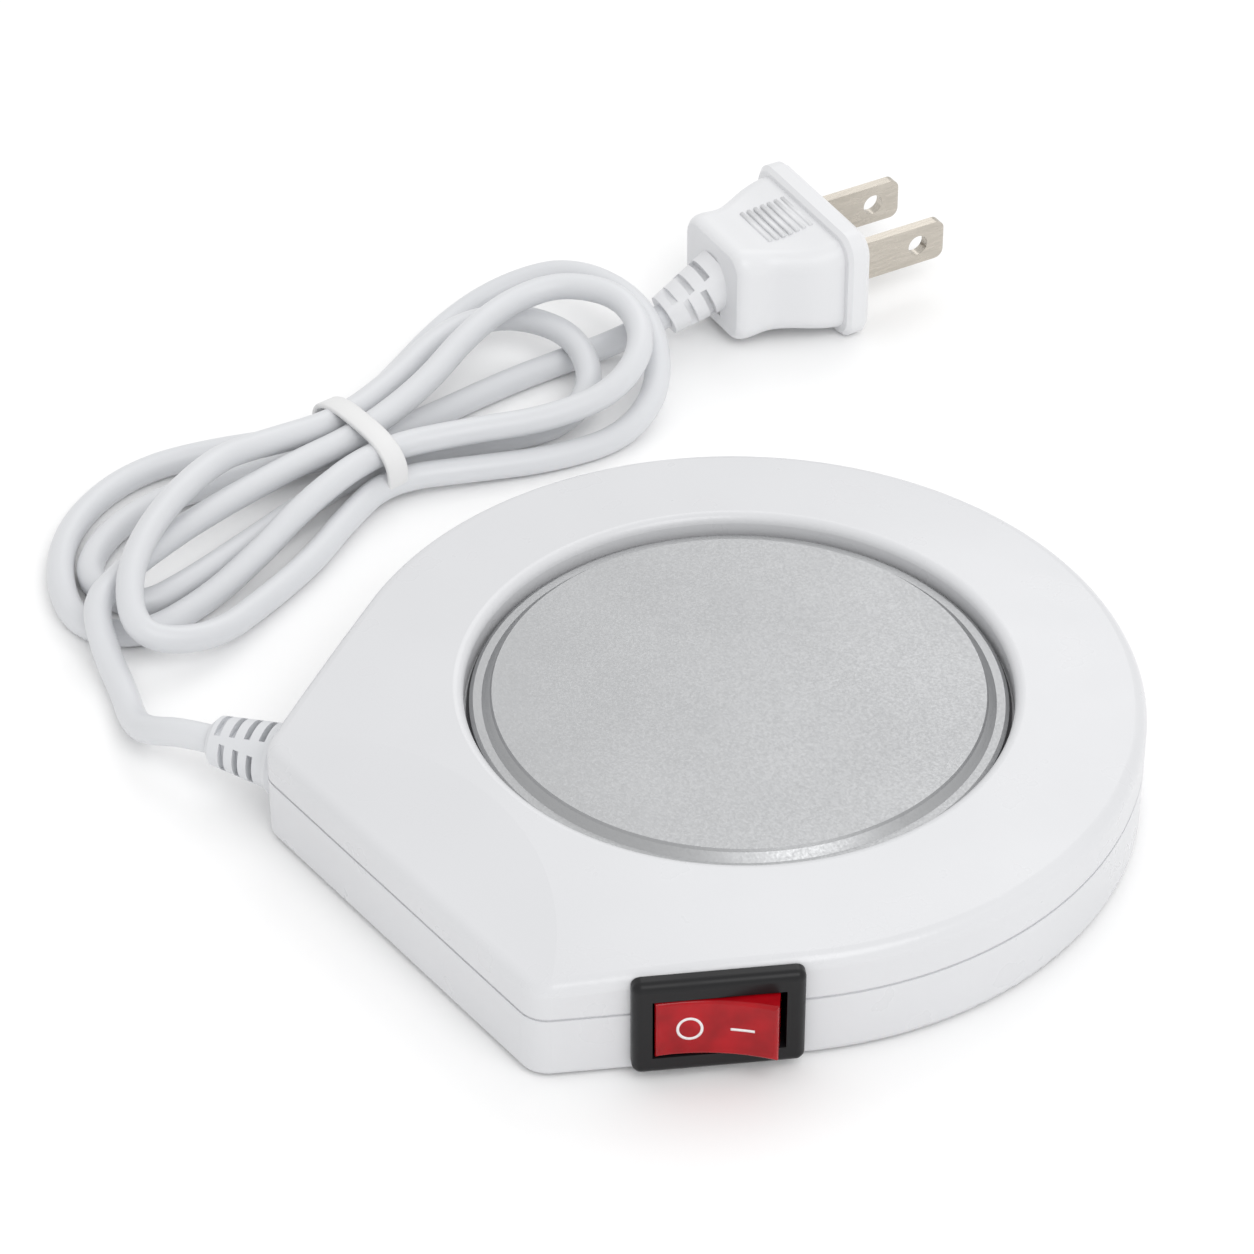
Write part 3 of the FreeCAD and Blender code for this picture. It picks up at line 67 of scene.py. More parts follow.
# Camera: direction it looks from, in degrees, and its place in millimetres.
CAMERA_ANGLES = (52.934, 37.914, -0.125)
CAMERA_PLACE = (360.13, -288.93, 385.93)
SENSOR_WIDTH = 36.0

# Lamps and table, in metres.
KEY_PLACE = (0.75, -0.1, 0.95)
KEY_WIDTH = 0.8
BACK_PLACE = (-0.55, 0.75, 0.9)
BACK_WIDTH = 0.8
LAMP_TARGET = (-0.03, 0.0, 0.0)
TABLE_REACH = 3

# Route of the lead: out of the strain relief, down to the table and into the hank.
LEAD_OUT_OF_SHELL = (
    (-36.45, -49.87, 7.4),
    (-44.5, -54.52, 7.4),
    (-50.5, -56.9, 4.8),
    (-56.0, -55.8, 2.4),
    (-62.5, -53.2, 1.95),
    (-69.0, -51.5, 2.6),
)

# Hank: u runs towards the plug and v away from the shell, in millimetres.
HANK_MIDDLE = (-86.0, 1.0)
LEAD_IN = (
    (-50.5, -10.5, 6.6),
    (-44.5, -6.8, 6.2),
    (-38.6, -4.6, 6.1),
    (-28.0, -2.1, 6.4),
    (-12.0, -0.3, 6.8),
    (0.0, 0.0, 6.9),
)
# Each loop: the run out from the waist, the bend at the end, the run back, the waist.
LOOPS = (
    ((13.0, 2.6, 8.4), (24.0, 7.3, 10.2),
     (33.5, 9.5, 11.0), (41.5, 7.6, 11.8), (46.2, -1.0, 12.0), (43.0, -10.2, 10.2), (34.0, -14.6, 7.8),
     (23.0, -12.6, 6.7), (13.0, -8.6, 6.9), (0.0, -4.4, 6.9)),
    ((-14.0, -8.2, 6.6), (-25.0, -11.5, 3.9),
     (-35.0, -13.8, 2.1), (-46.0, -15.0, 1.9), (-52.0, -7.5, 1.9), (-47.0, 5.5, 1.9), (-38.0, 14.0, 1.9),
     (-26.0, 17.6, 2.0), (-14.0, 14.2, 2.4), (0.0, 6.6, 3.0)),
    ((14.0, 13.0, 2.6), (29.0, 20.0, 3.2),
     (40.0, 20.0, 5.5), (48.5, 14.5, 8.0), (50.5, 0.0, 8.4), (44.0, -13.0, 5.0), (34.0, -17.6, 1.9),
     (22.0, -15.6, 2.0), (12.0, -11.6, 2.5), (0.0, -6.6, 3.0)),
    ((-10.0, -10.6, 2.6), (-18.0, -15.0, 2.35),
     (-28.0, -18.5, 2.2), (-40.0, -23.0, 3.6), (-49.5, -20.0, 6.4), (-45.5, -11.0, 9.6), (-35.0, -3.0, 11.0),
     (-22.0, 3.0, 10.6), (-14.0, 4.6, 8.6), (0.0, 4.4, 6.9)),
    ((12.0, 8.2, 6.9), (20.0, 12.2, 6.7),
     (28.6, 14.2, 6.6), (36.0, 11.0, 6.5), (39.5, 2.0, 6.3), (36.0, -7.0, 4.2), (28.6, -9.8, 1.9),
     (20.0, -7.9, 2.0), (12.0, -4.6, 2.3), (0.0, -2.2, 3.0)),
    ((-14.0, -4.4, 2.4), (-24.0, -6.4, 1.95),
     (-34.0, -8.5, 1.9), (-42.5, -9.5, 1.9), (-45.5, -2.5, 1.9), (-43.0, 3.8, 1.9), (-34.0, 9.0, 1.9),
     (-24.0, 9.5, 2.0), (-14.0, 6.6, 2.3), (0.0, 2.2, 3.0)),
)
LEAD_OUT = (
    (14.0, 2.9, 2.2),
    (28.0, 3.6, 2.0),
    (38.0, 2.9, 2.05),
    (45.0, 1.9, 2.4),
    (50.4, 0.55, 3.8),
    (54.0, 0.0, 5.0),
)

# Materials


class Finish:
    """A node material of one of this object's finishes."""

    def __init__(self, name, colour, roughness, **values):
        self.material = bpy.data.materials.new(name)
        self.material.use_nodes = True
        self.tree = self.material.node_tree
        self.nodes = self.tree.nodes
        self.shader = self.nodes["Principled BSDF"]
        self.shader.inputs["Base Color"].default_value = (*colour, 1.0)
        self.shader.inputs["Roughness"].default_value = roughness
        for socket, value in values.items():
            self.shader.inputs[socket.replace("_", " ")].default_value = value
        self.where = self.nodes.new("ShaderNodeTexCoord").outputs["Object"]
        self.height = None

    def link(self, output, target):
        self.tree.links.new(output, target)

    def noise(self, scale, detail=3.0, stretch=None):
        """Noise at a number of features per metre, drawn out along an axis where asked."""
        source = self.where
        if stretch is not None:
            mapping = self.nodes.new("ShaderNodeMapping")
            mapping.inputs["Scale"].default_value = stretch
            self.link(source, mapping.inputs["Vector"])
            source = mapping.outputs["Vector"]
        texture = self.nodes.new("ShaderNodeTexNoise")
        texture.inputs["Scale"].default_value = scale
        texture.inputs["Detail"].default_value = detail
        self.link(source, texture.inputs["Vector"])
        return texture.outputs["Fac"]

    def spread(self, value, low, high, start=0.3, end=0.7):
        """Map a texture to a range."""
        ramp = self.nodes.new("ShaderNodeMapRange")
        ramp.inputs["From Min"].default_value = start
        ramp.inputs["From Max"].default_value = end
        ramp.inputs["To Min"].default_value = low
        ramp.inputs["To Max"].default_value = high
        self.link(value, ramp.inputs["Value"])
        return ramp.outputs["Result"]

    def tint(self, value, dark, light):
        """Colour the surface between two shades."""
        mix = self.nodes.new("ShaderNodeMix")
        mix.data_type = "RGBA"
        mix.inputs["A"].default_value = (*dark, 1.0)
        mix.inputs["B"].default_value = (*light, 1.0)
        self.link(value, mix.inputs["Factor"])
        self.link(mix.outputs["Result"], self.shader.inputs["Base Color"])

    def gloss(self, value, low, high):
        self.link(self.spread(value, low, high), self.shader.inputs["Roughness"])

    def relief(self, value, distance, strength=1.0):
        """Bump of a height in metres; later ones lie on earlier ones."""
        bump = self.nodes.new("ShaderNodeBump")
        bump.inputs["Distance"].default_value = distance
        bump.inputs["Strength"].default_value = strength
        self.link(value, bump.inputs["Height"])
        if self.height is not None:
            self.link(self.height, bump.inputs["Normal"])
        self.height = bump.outputs["Normal"]
        self.link(self.height, self.shader.inputs["Normal"])


def shaded(colour, factor):
    return tuple(min(1.0, c * factor) for c in colour)


def moulded_plastic(name, colour, roughness, grain=1800.0, depth=0.000004, coat=0.0, shine=0.5):
    """Injection moulded plastic: slow flow marks, a fine texture and uneven gloss."""
    finish = Finish(name, colour, roughness, Specular_IOR_Level=shine)
    finish.shader.inputs["Coat Weight"].default_value = coat
    finish.shader.inputs["Coat Roughness"].default_value = 0.12
    flow = finish.noise(35.0, 2.0)
    finish.tint(finish.spread(flow, 0.0, 1.0), shaded(colour, 0.975), shaded(colour, 1.01))
    finish.gloss(finish.noise(120.0, 4.0), roughness * 0.85, roughness * 1.15)
    finish.relief(finish.noise(grain, 2.0), depth)
    return finish.material


def blasted_aluminium(name, colour):
    """Bead blasted and clear anodised: fine sparkling grain over faint clouds."""
    finish = Finish(name, colour, 0.42, Metallic=0.92)
    grain = finish.noise(2800.0, 2.0)
    clouds = finish.noise(60.0, 3.0)
    mix = finish.nodes.new("ShaderNodeMath")
    mix.operation = "MULTIPLY_ADD"
    mix.inputs[1].default_value = 0.7
    finish.link(grain, mix.inputs[0])
    finish.link(finish.spread(clouds, 0.05, 0.3), mix.inputs[2])
    finish.tint(mix.outputs["Value"], shaded(colour, 0.88), shaded(colour, 1.12))
    finish.gloss(grain, 0.34, 0.52)
    finish.relief(grain, 0.00002, 0.6)
    finish.relief(finish.noise(700.0, 2.0), 0.00003, 0.35)
    return finish.material


def rolled_metal(name, colour, roughness, stretch):
    """Rolled or plated strip with faint drawing lines along one direction."""
    finish = Finish(name, colour, roughness, Metallic=1.0)
    lines = finish.noise(2500.0, 2.0, stretch)
    finish.tint(finish.spread(lines, 0.0, 1.0), shaded(colour, 0.9), shaded(colour, 1.06))
    finish.gloss(lines, roughness * 0.75, roughness * 1.25)
    finish.relief(lines, 0.000006)
    return finish.material


def tinted_lens(name, colour):
    """Red see-through plastic, deeper and paler red in random patches."""
    finish = Finish(name, colour, 0.12, Transmission_Weight=0.22, IOR=1.5, Specular_IOR_Level=0.2)
    finish.shader.inputs["Coat Weight"].default_value = 0.08
    finish.shader.inputs["Coat Roughness"].default_value = 0.08
    depth = finish.noise(260.0, 2.0)
    finish.tint(finish.spread(depth, 0.0, 1.0), shaded(colour, 0.72), shaded(colour, 1.15))
    finish.gloss(finish.noise(500.0), 0.09, 0.16)
    return finish.material


def soft_sheet(name, colour, roughness, scale):
    """Fibrous or layered sheet under the plate."""
    finish = Finish(name, colour, roughness)
    fibre = finish.noise(scale, 5.0)
    finish.tint(finish.spread(fibre, 0.0, 1.0), shaded(colour, 0.8), shaded(colour, 1.08))
    finish.relief(fibre, 0.00006)
    return finish.material


def rubber(name, colour):
    finish = Finish(name, colour, 0.75)
    grain = finish.noise(900.0, 4.0)
    finish.tint(finish.spread(grain, 0.0, 1.0), shaded(colour, 0.8), shaded(colour, 1.3))
    finish.gloss(grain, 0.65, 0.85)
    finish.relief(grain, 0.00003)
    return finish.material


# Pieces


def add_piece(name, mesh_or_curve, material, body):
    """Put a finished piece in the scene and let it ride on a body."""
    piece = bpy.data.objects.new(name, mesh_or_curve)
    bpy.context.scene.collection.objects.link(piece)
    piece.data.materials.append(material)
    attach(piece, body)
    return piece


def finish_nodes(material, *names):
    """Give CAD nodes a material in place of their plain one."""
    for name in names:
        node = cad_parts[name]
        node.data.materials.clear()
        node.data.materials.append(material)


def soften_edges(node, width, segments=2, angle=40.0):
    """Small bevel that catches light along a CAD node's hard edges."""
    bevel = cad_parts[node].modifiers.new("edge", "BEVEL")
    bevel.width = width
    bevel.segments = segments
    bevel.limit_method = "ANGLE"
    bevel.angle_limit = math.radians(angle)
    bevel.harden_normals = False


def mesh_from(build):
    """Mesh made by a function that fills a bmesh."""
    mesh = bpy.data.meshes.new("mesh")
    shape = bmesh.new()
    build(shape)
    bmesh.ops.recalc_face_normals(shape, faces=shape.faces)
    shape.to_mesh(mesh)
    shape.free()
    mesh.shade_smooth()
    return mesh


def lofted(shape, rings, closed=False, capped=True):
    """Skin over equal rings of points."""
    rows = [[shape.verts.new(point) for point in ring] for ring in rings]
    count = len(rows[0])
    pairs = list(zip(rows, rows[1:]))
    if closed:
        pairs.append((rows[-1], rows[0]))
    for one, other in pairs:
        for i in range(count):
            following = (i + 1) % count
            shape.faces.new((one[i], one[following], other[following], other[i]))
    if capped and not closed:
        shape.faces.new(list(reversed(rows[0])))
        shape.faces.new(rows[-1])


def hank_point(u, v, z):
    return (HANK_MIDDLE[0] - v, u + HANK_MIDDLE[1], z)


def lead_route():
    """Control points of the whole lead in metres."""
    points = list(LEAD_OUT_OF_SHELL)
    points += [hank_point(*point) for point in LEAD_IN]
    for loop in LOOPS:
        points += [hank_point(*point) for point in loop]
    points += [hank_point(*point) for point in LEAD_OUT]
    return [Vector(point) * MM for point in points]


# Settings


class LeadSettings(bpy.types.PropertyGroup):
    """Mains lead and its tie."""

    diameter: bpy.props.FloatProperty(
        name="Diameter", description="Outside diameter of the lead",
        default=0.0038, unit="LENGTH")
    length: bpy.props.FloatProperty(
        name="Length", description="Length of the lead from the shell to the plug",
        default=0.80, unit="LENGTH")
    colour: bpy.props.FloatVectorProperty(
        name="Colour", description="Colour of the lead's sheath",
        default=(0.70, 0.71, 0.73), subtype="COLOR")
    tie_colour: bpy.props.FloatVectorProperty(
        name="Tie colour", description="Colour of the band round the hank",
        default=(0.79, 0.79, 0.79), subtype="COLOR")
    tie_width: bpy.props.FloatProperty(
        name="Tie width", description="Width of the band along the hank",
        default=0.0032, unit="LENGTH")


class ShellSettings(bpy.types.PropertyGroup):
    """Shell, plate and feet."""

    colour: bpy.props.FloatVectorProperty(
        name="Shell colour", description="Colour of the moulded shell",
        default=(0.69, 0.695, 0.712), subtype="COLOR")
    gloss: bpy.props.FloatProperty(
        name="Shell roughness", description="Roughness of the shell",
        default=0.3, min=0.0, max=1.0)
    plate_colour: bpy.props.FloatVectorProperty(
        name="Plate colour", description="Colour of the aluminium plate",
        default=(0.43, 0.435, 0.442), subtype="COLOR")
    foot_colour: bpy.props.FloatVectorProperty(
        name="Foot colour", description="Colour of the rubber feet",
        default=(0.05, 0.05, 0.05), subtype="COLOR")


class SwitchSettings(bpy.types.PropertyGroup):
    """Rocker switch."""

    bezel_colour: bpy.props.FloatVectorProperty(
        name="Bezel colour", description="Colour of the switch housing",
        default=(0.012, 0.012, 0.013), subtype="COLOR")
    rocker_colour: bpy.props.FloatVectorProperty(
        name="Rocker colour", description="Colour of the see-through rocker",
        default=(0.48, 0.003, 0.009), subtype="COLOR")
    ring_radius: bpy.props.FloatProperty(
        name="Ring radius", description="Radius of the off mark",
        default=0.00145, unit="LENGTH")
    bar_length: bpy.props.FloatProperty(
        name="Bar length", description="Length of the on mark",
        default=0.0029, unit="LENGTH")


class PlugSettings(bpy.types.PropertyGroup):
    """Plug and its blades."""

    colour: bpy.props.FloatVectorProperty(
        name="Plug colour", description="Colour of the moulded plug",
        default=(0.77, 0.775, 0.79), subtype="COLOR")
    blade_colour: bpy.props.FloatVectorProperty(
        name="Blade colour", description="Colour of the nickel plated blades",
        default=(0.56, 0.52, 0.46), subtype="COLOR")


class StageSettings(bpy.types.PropertyGroup):
    """Camera, lamps and table."""

    lens: bpy.props.FloatProperty(
        name="Lens", description="Focal length of the camera in millimetres",
        default=133.13)
    sky: bpy.props.FloatProperty(
        name="Sky strength", description="Strength of the plain white surroundings",
        default=0.84, min=0.0)
    key: bpy.props.FloatProperty(
        name="Key strength", description="Power of the main soft lamp",
        default=4.0, unit="POWER")
    rim: bpy.props.FloatProperty(
        name="Back strength", description="Power of the lamp behind the object",
        default=2.0, unit="POWER")


# Operators


class BuildStage(bpy.types.Operator):
    """Camera at the photograph's angle, soft lamps and a white table"""

    bl_idname = "mug_warmer.stage"
    bl_label = "Stage"

    def execute(self, context):
        settings = context.scene.warmer_stage
        scene = context.scene
        scene.view_settings.view_transform = "Standard"
        self.add_camera(scene, settings.lens)
        self.add_lamp("key_lamp", KEY_PLACE, KEY_WIDTH, settings.key)
        self.add_lamp("back_lamp", BACK_PLACE, BACK_WIDTH, settings.rim)
        self.add_sky(scene, settings.sky)
        self.add_table()
        return {"FINISHED"}

    def add_camera(self, scene, lens):
        turn, rise, roll = (math.radians(angle) for angle in CAMERA_ANGLES)
        back = Vector((math.sin(turn) * math.cos(rise), -math.cos(turn) * math.cos(rise), math.sin(rise)))
        right = Vector((math.cos(turn), math.sin(turn), 0.0))
        up = back.cross(right)
        across = right * math.cos(roll) + up * math.sin(roll)
        above = up * math.cos(roll) - right * math.sin(roll)
        data = bpy.data.cameras.new("camera")
        data.lens = lens
        data.sensor_width = SENSOR_WIDTH
        data.clip_start = 0.01
        data.clip_end = 20.0
        camera = bpy.data.objects.new("camera", data)
        matrix = Matrix((across, above, back)).transposed().to_4x4()
        matrix.translation = Vector(CAMERA_PLACE) * MM
        camera.matrix_world = matrix
        scene.collection.objects.link(camera)
        scene.camera = camera

    def add_lamp(self, name, place, width, power):
        data = bpy.data.lights.new(name, "AREA")
        data.shape = "DISK"
        data.size = width
        data.energy = power
        lamp = bpy.data.objects.new(name, data)
        lamp.location = place
        aim = Vector(LAMP_TARGET) - Vector(place)
        lamp.rotation_mode = "QUATERNION"
        lamp.rotation_quaternion = aim.to_track_quat("-Z", "Y")
        bpy.context.scene.collection.objects.link(lamp)

    def add_sky(self, scene, strength):
        world = bpy.data.worlds.new("white_room")
        world.use_nodes = True
        tree = world.node_tree
        tree.nodes.clear()
        output = tree.nodes.new("ShaderNodeOutputWorld")
        rays = tree.nodes.new("ShaderNodeLightPath")
        lit = tree.nodes.new("ShaderNodeBackground")
        seen = tree.nodes.new("ShaderNodeBackground")
        mix = tree.nodes.new("ShaderNodeMixShader")
        lit.inputs["Strength"].default_value = strength
        lit.inputs["Color"].default_value = (1.0, 1.0, 1.0, 1.0)
        seen.inputs["Color"].default_value = (1.0, 1.0, 1.0, 1.0)
        add = tree.nodes.new("ShaderNodeMath")
        add.operation = "MAXIMUM"
        tree.links.new(rays.outputs["Is Camera Ray"], add.inputs[0])
        tree.links.new(rays.outputs["Is Transmission Ray"], add.inputs[1])
        tree.links.new(add.outputs["Value"], mix.inputs["Fac"])
        tree.links.new(lit.outputs["Background"], mix.inputs[1])
        tree.links.new(seen.outputs["Background"], mix.inputs[2])
        tree.links.new(mix.outputs["Shader"], output.inputs["Surface"])
        scene.world = world

    def add_table(self):
        def build(shape):
            corners = ((-1, -1), (1, -1), (1, 1), (-1, 1))
            shape.faces.new([shape.verts.new((x * TABLE_REACH, y * TABLE_REACH, 0)) for x, y in corners])
        table = bpy.data.objects.new("table", mesh_from(build))
        bpy.context.scene.collection.objects.link(table)
        finish = Finish("white_table", (0.98, 0.98, 0.98), 0.9, Specular_IOR_Level=0.0)
        finish.tint(finish.spread(finish.noise(4.0), 0.0, 1.0), (0.975, 0.975, 0.975), (0.985, 0.985, 0.985))
        table.data.materials.append(finish.material)


class BuildLead(bpy.types.Operator):
    """Mains lead from the strain relief through the tied hank to the plug"""

    bl_idname = "mug_warmer.lead"
    bl_label = "Lead"

    def execute(self, context):
        settings = context.scene.warmer_lead
        curve = bpy.data.curves.new("lead", "CURVE")
        curve.dimensions = "3D"
        curve.resolution_u = 10
        curve.bevel_depth = settings.diameter / 2
        curve.bevel_resolution = 8
        curve.use_fill_caps = True
        spline = curve.splines.new("NURBS")
        route = lead_route()
        spline.points.add(len(route) - 1)
        for point, place in zip(spline.points, route):
            point.co = (*place, 1.0)
        spline.order_u = 3
        spline.use_endpoint_u = True
        sheath = moulded_plastic("lead_sheath", tuple(settings.colour), 0.38, 2600.0, 0.000006)
        lead = add_piece("lead", curve, sheath, "housing")
        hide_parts("cord", "cord_hank")
        return {"FINISHED"}


class BuildTie(bpy.types.Operator):
    """Flat band round the waist of the hank"""

    bl_idname = "mug_warmer.tie"
    bl_label = "Tie"

    def execute(self, context):
        settings = context.scene.warmer_lead
        width = settings.tie_width
        plastic = moulded_plastic("tie_plastic", tuple(settings.tie_colour), 0.55, 1500.0, 0.00001)
        band = mesh_from(lambda shape: self.band(shape, width))
        tie = add_piece("tie", band, plastic, "housing")
        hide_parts("hank_tie")
        return {"FINISHED"}

    def band(self, shape, width):
        """Rounded strip swept round the oval that holds the strands."""
        low, high, half = 0.1, 9.95, 9.75
        middle = (low + high) / 2
        # across the band as a share of its width, and depth in millimetres
        profile = [
            (-0.5, 0.15), (-0.42, 0.0), (0.42, 0.0), (0.5, 0.15),
            (0.5, 0.7), (0.42, 0.85), (-0.42, 0.85), (-0.5, 0.7),
        ]
        rings = []
        steps = 96
        for i in range(steps):
            angle = 2 * math.pi * i / steps
            c, s = math.cos(angle), math.sin(angle)
            x = half * math.copysign(abs(c) ** 0.72, c)
            z = (high - low) / 2 * math.copysign(abs(s) ** 0.85, s)
            inward = Vector((-c / half, 0.0, -s / ((high - low) / 2))).normalized()
            edge = Vector((HANK_MIDDLE[0] + x, HANK_MIDDLE[1], middle + z))
            ring = []
            for share, depth in profile:
                ring.append((edge + inward * depth + Vector((0.0, share * width / MM, 0.0))) * MM)
            rings.append(ring)
        lofted(shape, rings, closed=True)


class FinishShell(bpy.types.Operator):
    """Moulded shell, feet, screws and strain relief"""

    bl_idname = "mug_warmer.shell"
    bl_label = "Shell"

    def execute(self, context):
        settings = context.scene.warmer_shell
        lead = context.scene.warmer_lead
        white = moulded_plastic(
            "shell_plastic", tuple(settings.colour), settings.gloss, 2200.0, 0.000003, coat=0.15)
        finish_nodes(white, "upper_housing", "lower_housing", "cord_clamp")
        relief = moulded_plastic("relief_plastic", tuple(lead.colour), 0.42, 2600.0, 0.000006)
        finish_nodes(relief, "cord_gland", "lead_inside")
        finish_nodes(
            rubber("foot_rubber", tuple(settings.foot_colour)),
            "foot_right_flat_end", "foot_right_round_end", "foot_left_round_end", "foot_left_flat_end")
        finish_nodes(rolled_metal("plated_screws", (0.6, 0.6, 0.62), 0.3, (1, 1, 0.1)),
                     "housing_screws", "cord_clamp_screws", "clamp_screws")
        soften_edges("cord_gland", 0.00018)
        return {"FINISHED"}


class FinishPlate(bpy.types.Operator):
    """Aluminium warming plate and the heater stack under it"""

    bl_idname = "mug_warmer.plate"
    bl_label = "Plate"

    def execute(self, context):
        settings = context.scene.warmer_shell
        finish_nodes(blasted_aluminium("plate_aluminium", tuple(settings.plate_colour)), "heating_plate")
        soften_edges("heating_plate", 0.00012, 2, 15.0)
        finish_nodes(rubber("gasket_rubber", (0.06, 0.06, 0.065)), "plate_gasket")
        finish_nodes(soft_sheet("mica", (0.62, 0.55, 0.4), 0.4, 700.0), "mica_upper", "mica_lower")
        finish_nodes(soft_sheet("felt", (0.8, 0.79, 0.74), 0.9, 1500.0), "insulation_pad")
        finish_nodes(rolled_metal("element_ribbon", (0.4, 0.37, 0.33), 0.4, (1, 0.05, 1)), "heating_element")
        steel = rolled_metal("clamp_steel", (0.62, 0.63, 0.65), 0.35, (0.05, 1, 1))
        finish_nodes(steel, "clamp_plate", "thermal_fuse")
        finish_nodes(moulded_plastic("thermostat_resin", (0.12, 0.05, 0.03), 0.45), "thermostat")
        finish_nodes(soft_sheet("glass_sleeve", (0.8, 0.8, 0.74), 0.8, 2500.0), "fuse_sleeve")
        return {"FINISHED"}


class FinishSwitch(bpy.types.Operator):
    """Rocker switch with its printed marks, lamp, contacts and wires"""

    bl_idname = "mug_warmer.switch"
    bl_label = "Switch"

    def execute(self, context):
        settings = context.scene.warmer_switch
        black = moulded_plastic(
            "switch_black", tuple(settings.bezel_colour), 0.34, 2400.0, 0.000008, shine=0.25)
        finish_nodes(black, "switch_housing", "rocker_plunger")
        finish_nodes(tinted_lens("rocker_lens", tuple(settings.rocker_colour)), "switch_rocker")
        lamp = Finish("lamp_glass", (0.9, 0.8, 0.7), 0.05, Transmission_Weight=0.8)
        lamp.relief(lamp.noise(900.0), 0.00001)
        finish_nodes(lamp.material, "neon_lamp")
        finish_nodes(rolled_metal("spring_wire", (0.6, 0.6, 0.6), 0.3, (1, 1, 0.2)), "rocker_spring")
        brass = rolled_metal("contact_brass", (0.75, 0.55, 0.25), 0.3, (1, 1, 0.1))
        finish_nodes(brass, "contact_arm", "terminal_common", "terminal_load", "terminal_lamp")
        for node, colour in (("live_wire", (0.02, 0.02, 0.02)), ("switched_wire", (0.5, 0.03, 0.02)),
                             ("neutral_wire", (0.8, 0.8, 0.78)), ("crimp_connector", (0.75, 0.75, 0.72))):
            finish_nodes(moulded_plastic(node + "_sleeve", colour, 0.45), node)
        ink = Finish("mark_ink", (0.85, 0.8, 0.8), 0.4)
        ink.tint(ink.spread(ink.noise(2500.0), 0.0, 1.0), (0.8, 0.74, 0.74), (0.9, 0.86, 0.86))
        off_mark = mesh_from(lambda shape: self.ring(shape, settings.ring_radius / MM))
        on_mark = mesh_from(lambda shape: self.bar(shape, settings.bar_length / MM))
        add_piece("off_mark", off_mark, ink.material, "rocker")
        add_piece("on_mark", on_mark, ink.material, "rocker")
        return {"FINISHED"}

    def on_rocker(self, x, y, lift):
        """Point on the concave face of the rocker at rest."""
        face = ROCKER_STAND + (x / ROCKER_HOLLOW) ** 2 + lift
        turned_x = x * math.cos(ROCKER_REST) + face * math.sin(ROCKER_REST)
        turned_out = face * math.cos(ROCKER_REST) - x * math.sin(ROCKER_REST)
        return SWITCH_CENTRE + (SWITCH_ALONG * turned_x + Vector((0, 0, y)) + SWITCH_OUT * turned_out) * MM

    def ring(self, shape, radius):
        middle, half = -3.2, 0.17
        steps = 48
        height_share = 1.1
        inner, outer = radius - half, radius + half
        section = ((inner, MARK_SUNK), (inner, MARK_PROUD), (outer, MARK_PROUD), (outer, MARK_SUNK))
        rings = []
        for i in range(steps):
            angle = 2 * math.pi * i / steps
            ring = []
            for reach, lift in section:
                x = middle + reach * math.cos(angle)
                y = reach * height_share * math.sin(angle)
                ring.append(self.on_rocker(x, y, lift))
            rings.append(ring)
        lofted(shape, rings, closed=True)

    def bar(self, shape, length):
        middle, half = 3.1, 0.19
        steps = 12
        section = ((-half, MARK_SUNK), (half, MARK_SUNK), (half, MARK_PROUD), (-half, MARK_PROUD))
        rings = []
        for i in range(steps + 1):
            x = middle - length / 2 + length * i / steps
            rings.append([self.on_rocker(x, y, lift) for y, lift in section])
        lofted(shape, rings)


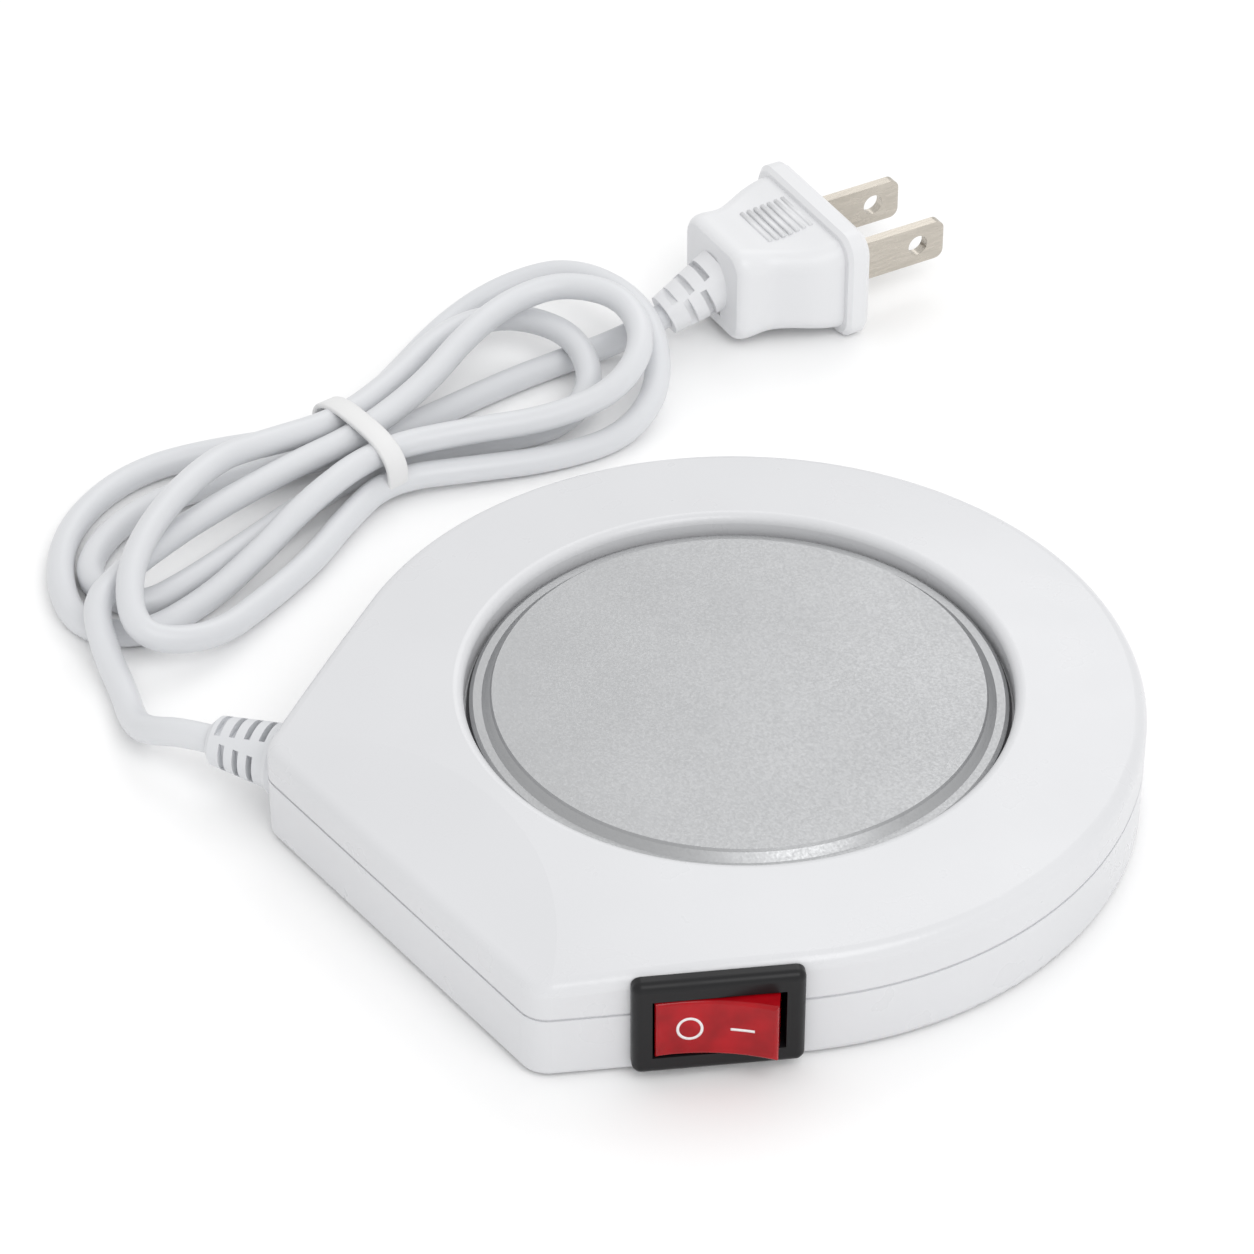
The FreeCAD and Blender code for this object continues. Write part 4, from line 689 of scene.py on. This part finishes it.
class FinishPlug(bpy.types.Operator):
    """Moulded plug with its grip patch and plated blades"""

    bl_idname = "mug_warmer.plug"
    bl_label = "Plug"

    def execute(self, context):
        settings = context.scene.warmer_plug
        white = moulded_plastic("plug_plastic", tuple(settings.colour), 0.36, 2400.0, 0.000005)
        finish_nodes(white, "plug_body")
        soften_edges("plug_body", 0.0003)
        nickel = rolled_metal("blade_nickel", tuple(settings.blade_colour), 0.26, (1, 0.06, 1))
        finish_nodes(nickel, "blade_live", "blade_neutral")
        soften_edges("blade_live", 0.00015)
        soften_edges("blade_neutral", 0.00015)
        add_piece("plug_grip", mesh_from(self.grip), white, "housing")
        return {"FINISHED"}

    def grip(self, shape):
        """Block of low ribs on the top of the plug."""
        heading = math.radians(PLUG_HEADING)
        along = Vector((math.sin(heading), math.cos(heading), 0.0))
        across = Vector((math.cos(heading), -math.sin(heading), 0.0))
        start = Vector(LEAD_END) + along * PLUG_RELIEF
        count, first, pitch = 7, 7.4, 1.15
        half, sunk = 4.2, -0.5
        section = ((-0.32, 0.0), (-0.2, 0.14), (0.2, 0.14), (0.32, 0.0))
        sides = ((-half, sunk), (half, sunk), (half, 0.0), (-half, 0.0))
        # the plug's top rises along the patch
        axis_height, low_half, rise = 8.7, 6.75, 0.6
        rise_start, rise_run = 6.6, 7.8
        for i in range(count):
            at = first + i * pitch
            top = axis_height + low_half + rise * (at - rise_start) / rise_run
            rings = []
            for step, low in section:
                place = start + along * (at + step)
                ring = []
                for side, drop in sides:
                    ring.append((place + across * side + Vector((0, 0, top + low + drop))) * MM)
                rings.append(ring)
            lofted(shape, rings)


class WarmerPanel(bpy.types.Panel):
    """Sidebar panel with one button per piece"""

    bl_idname = "VIEW3D_PT_mug_warmer"
    bl_label = "Mug Warmer"
    bl_space_type = "VIEW_3D"
    bl_region_type = "UI"
    bl_category = "Mug Warmer"

    def draw(self, context):
        for operator in OPERATORS:
            self.layout.operator(operator.bl_idname)
        for group in GROUPS:
            settings = getattr(context.scene, group)
            box = self.layout.box()
            for name in settings.__annotations__:
                box.prop(settings, name)


GROUPS = {
    "warmer_lead": LeadSettings,
    "warmer_shell": ShellSettings,
    "warmer_switch": SwitchSettings,
    "warmer_plug": PlugSettings,
    "warmer_stage": StageSettings,
}
OPERATORS = (BuildStage, BuildLead, BuildTie, FinishShell, FinishPlate, FinishSwitch, FinishPlug)


def register():
    for group, settings in GROUPS.items():
        bpy.utils.register_class(settings)
        setattr(bpy.types.Scene, group, bpy.props.PointerProperty(type=settings))
    for cls in (*OPERATORS, WarmerPanel):
        bpy.utils.register_class(cls)


def unregister():
    for cls in (*OPERATORS, WarmerPanel):
        bpy.utils.unregister_class(cls)
    for group, settings in GROUPS.items():
        delattr(bpy.types.Scene, group)
        bpy.utils.unregister_class(settings)


def main():
    register()
    bpy.ops.mug_warmer.stage()
    bpy.ops.mug_warmer.tie()
    bpy.ops.mug_warmer.shell()
    bpy.ops.mug_warmer.plate()
    bpy.ops.mug_warmer.switch()
    bpy.ops.mug_warmer.plug()
    bpy.ops.mug_warmer.lead()
    bpy.context.view_layer.update()


if __name__ == "__main__":
    main()
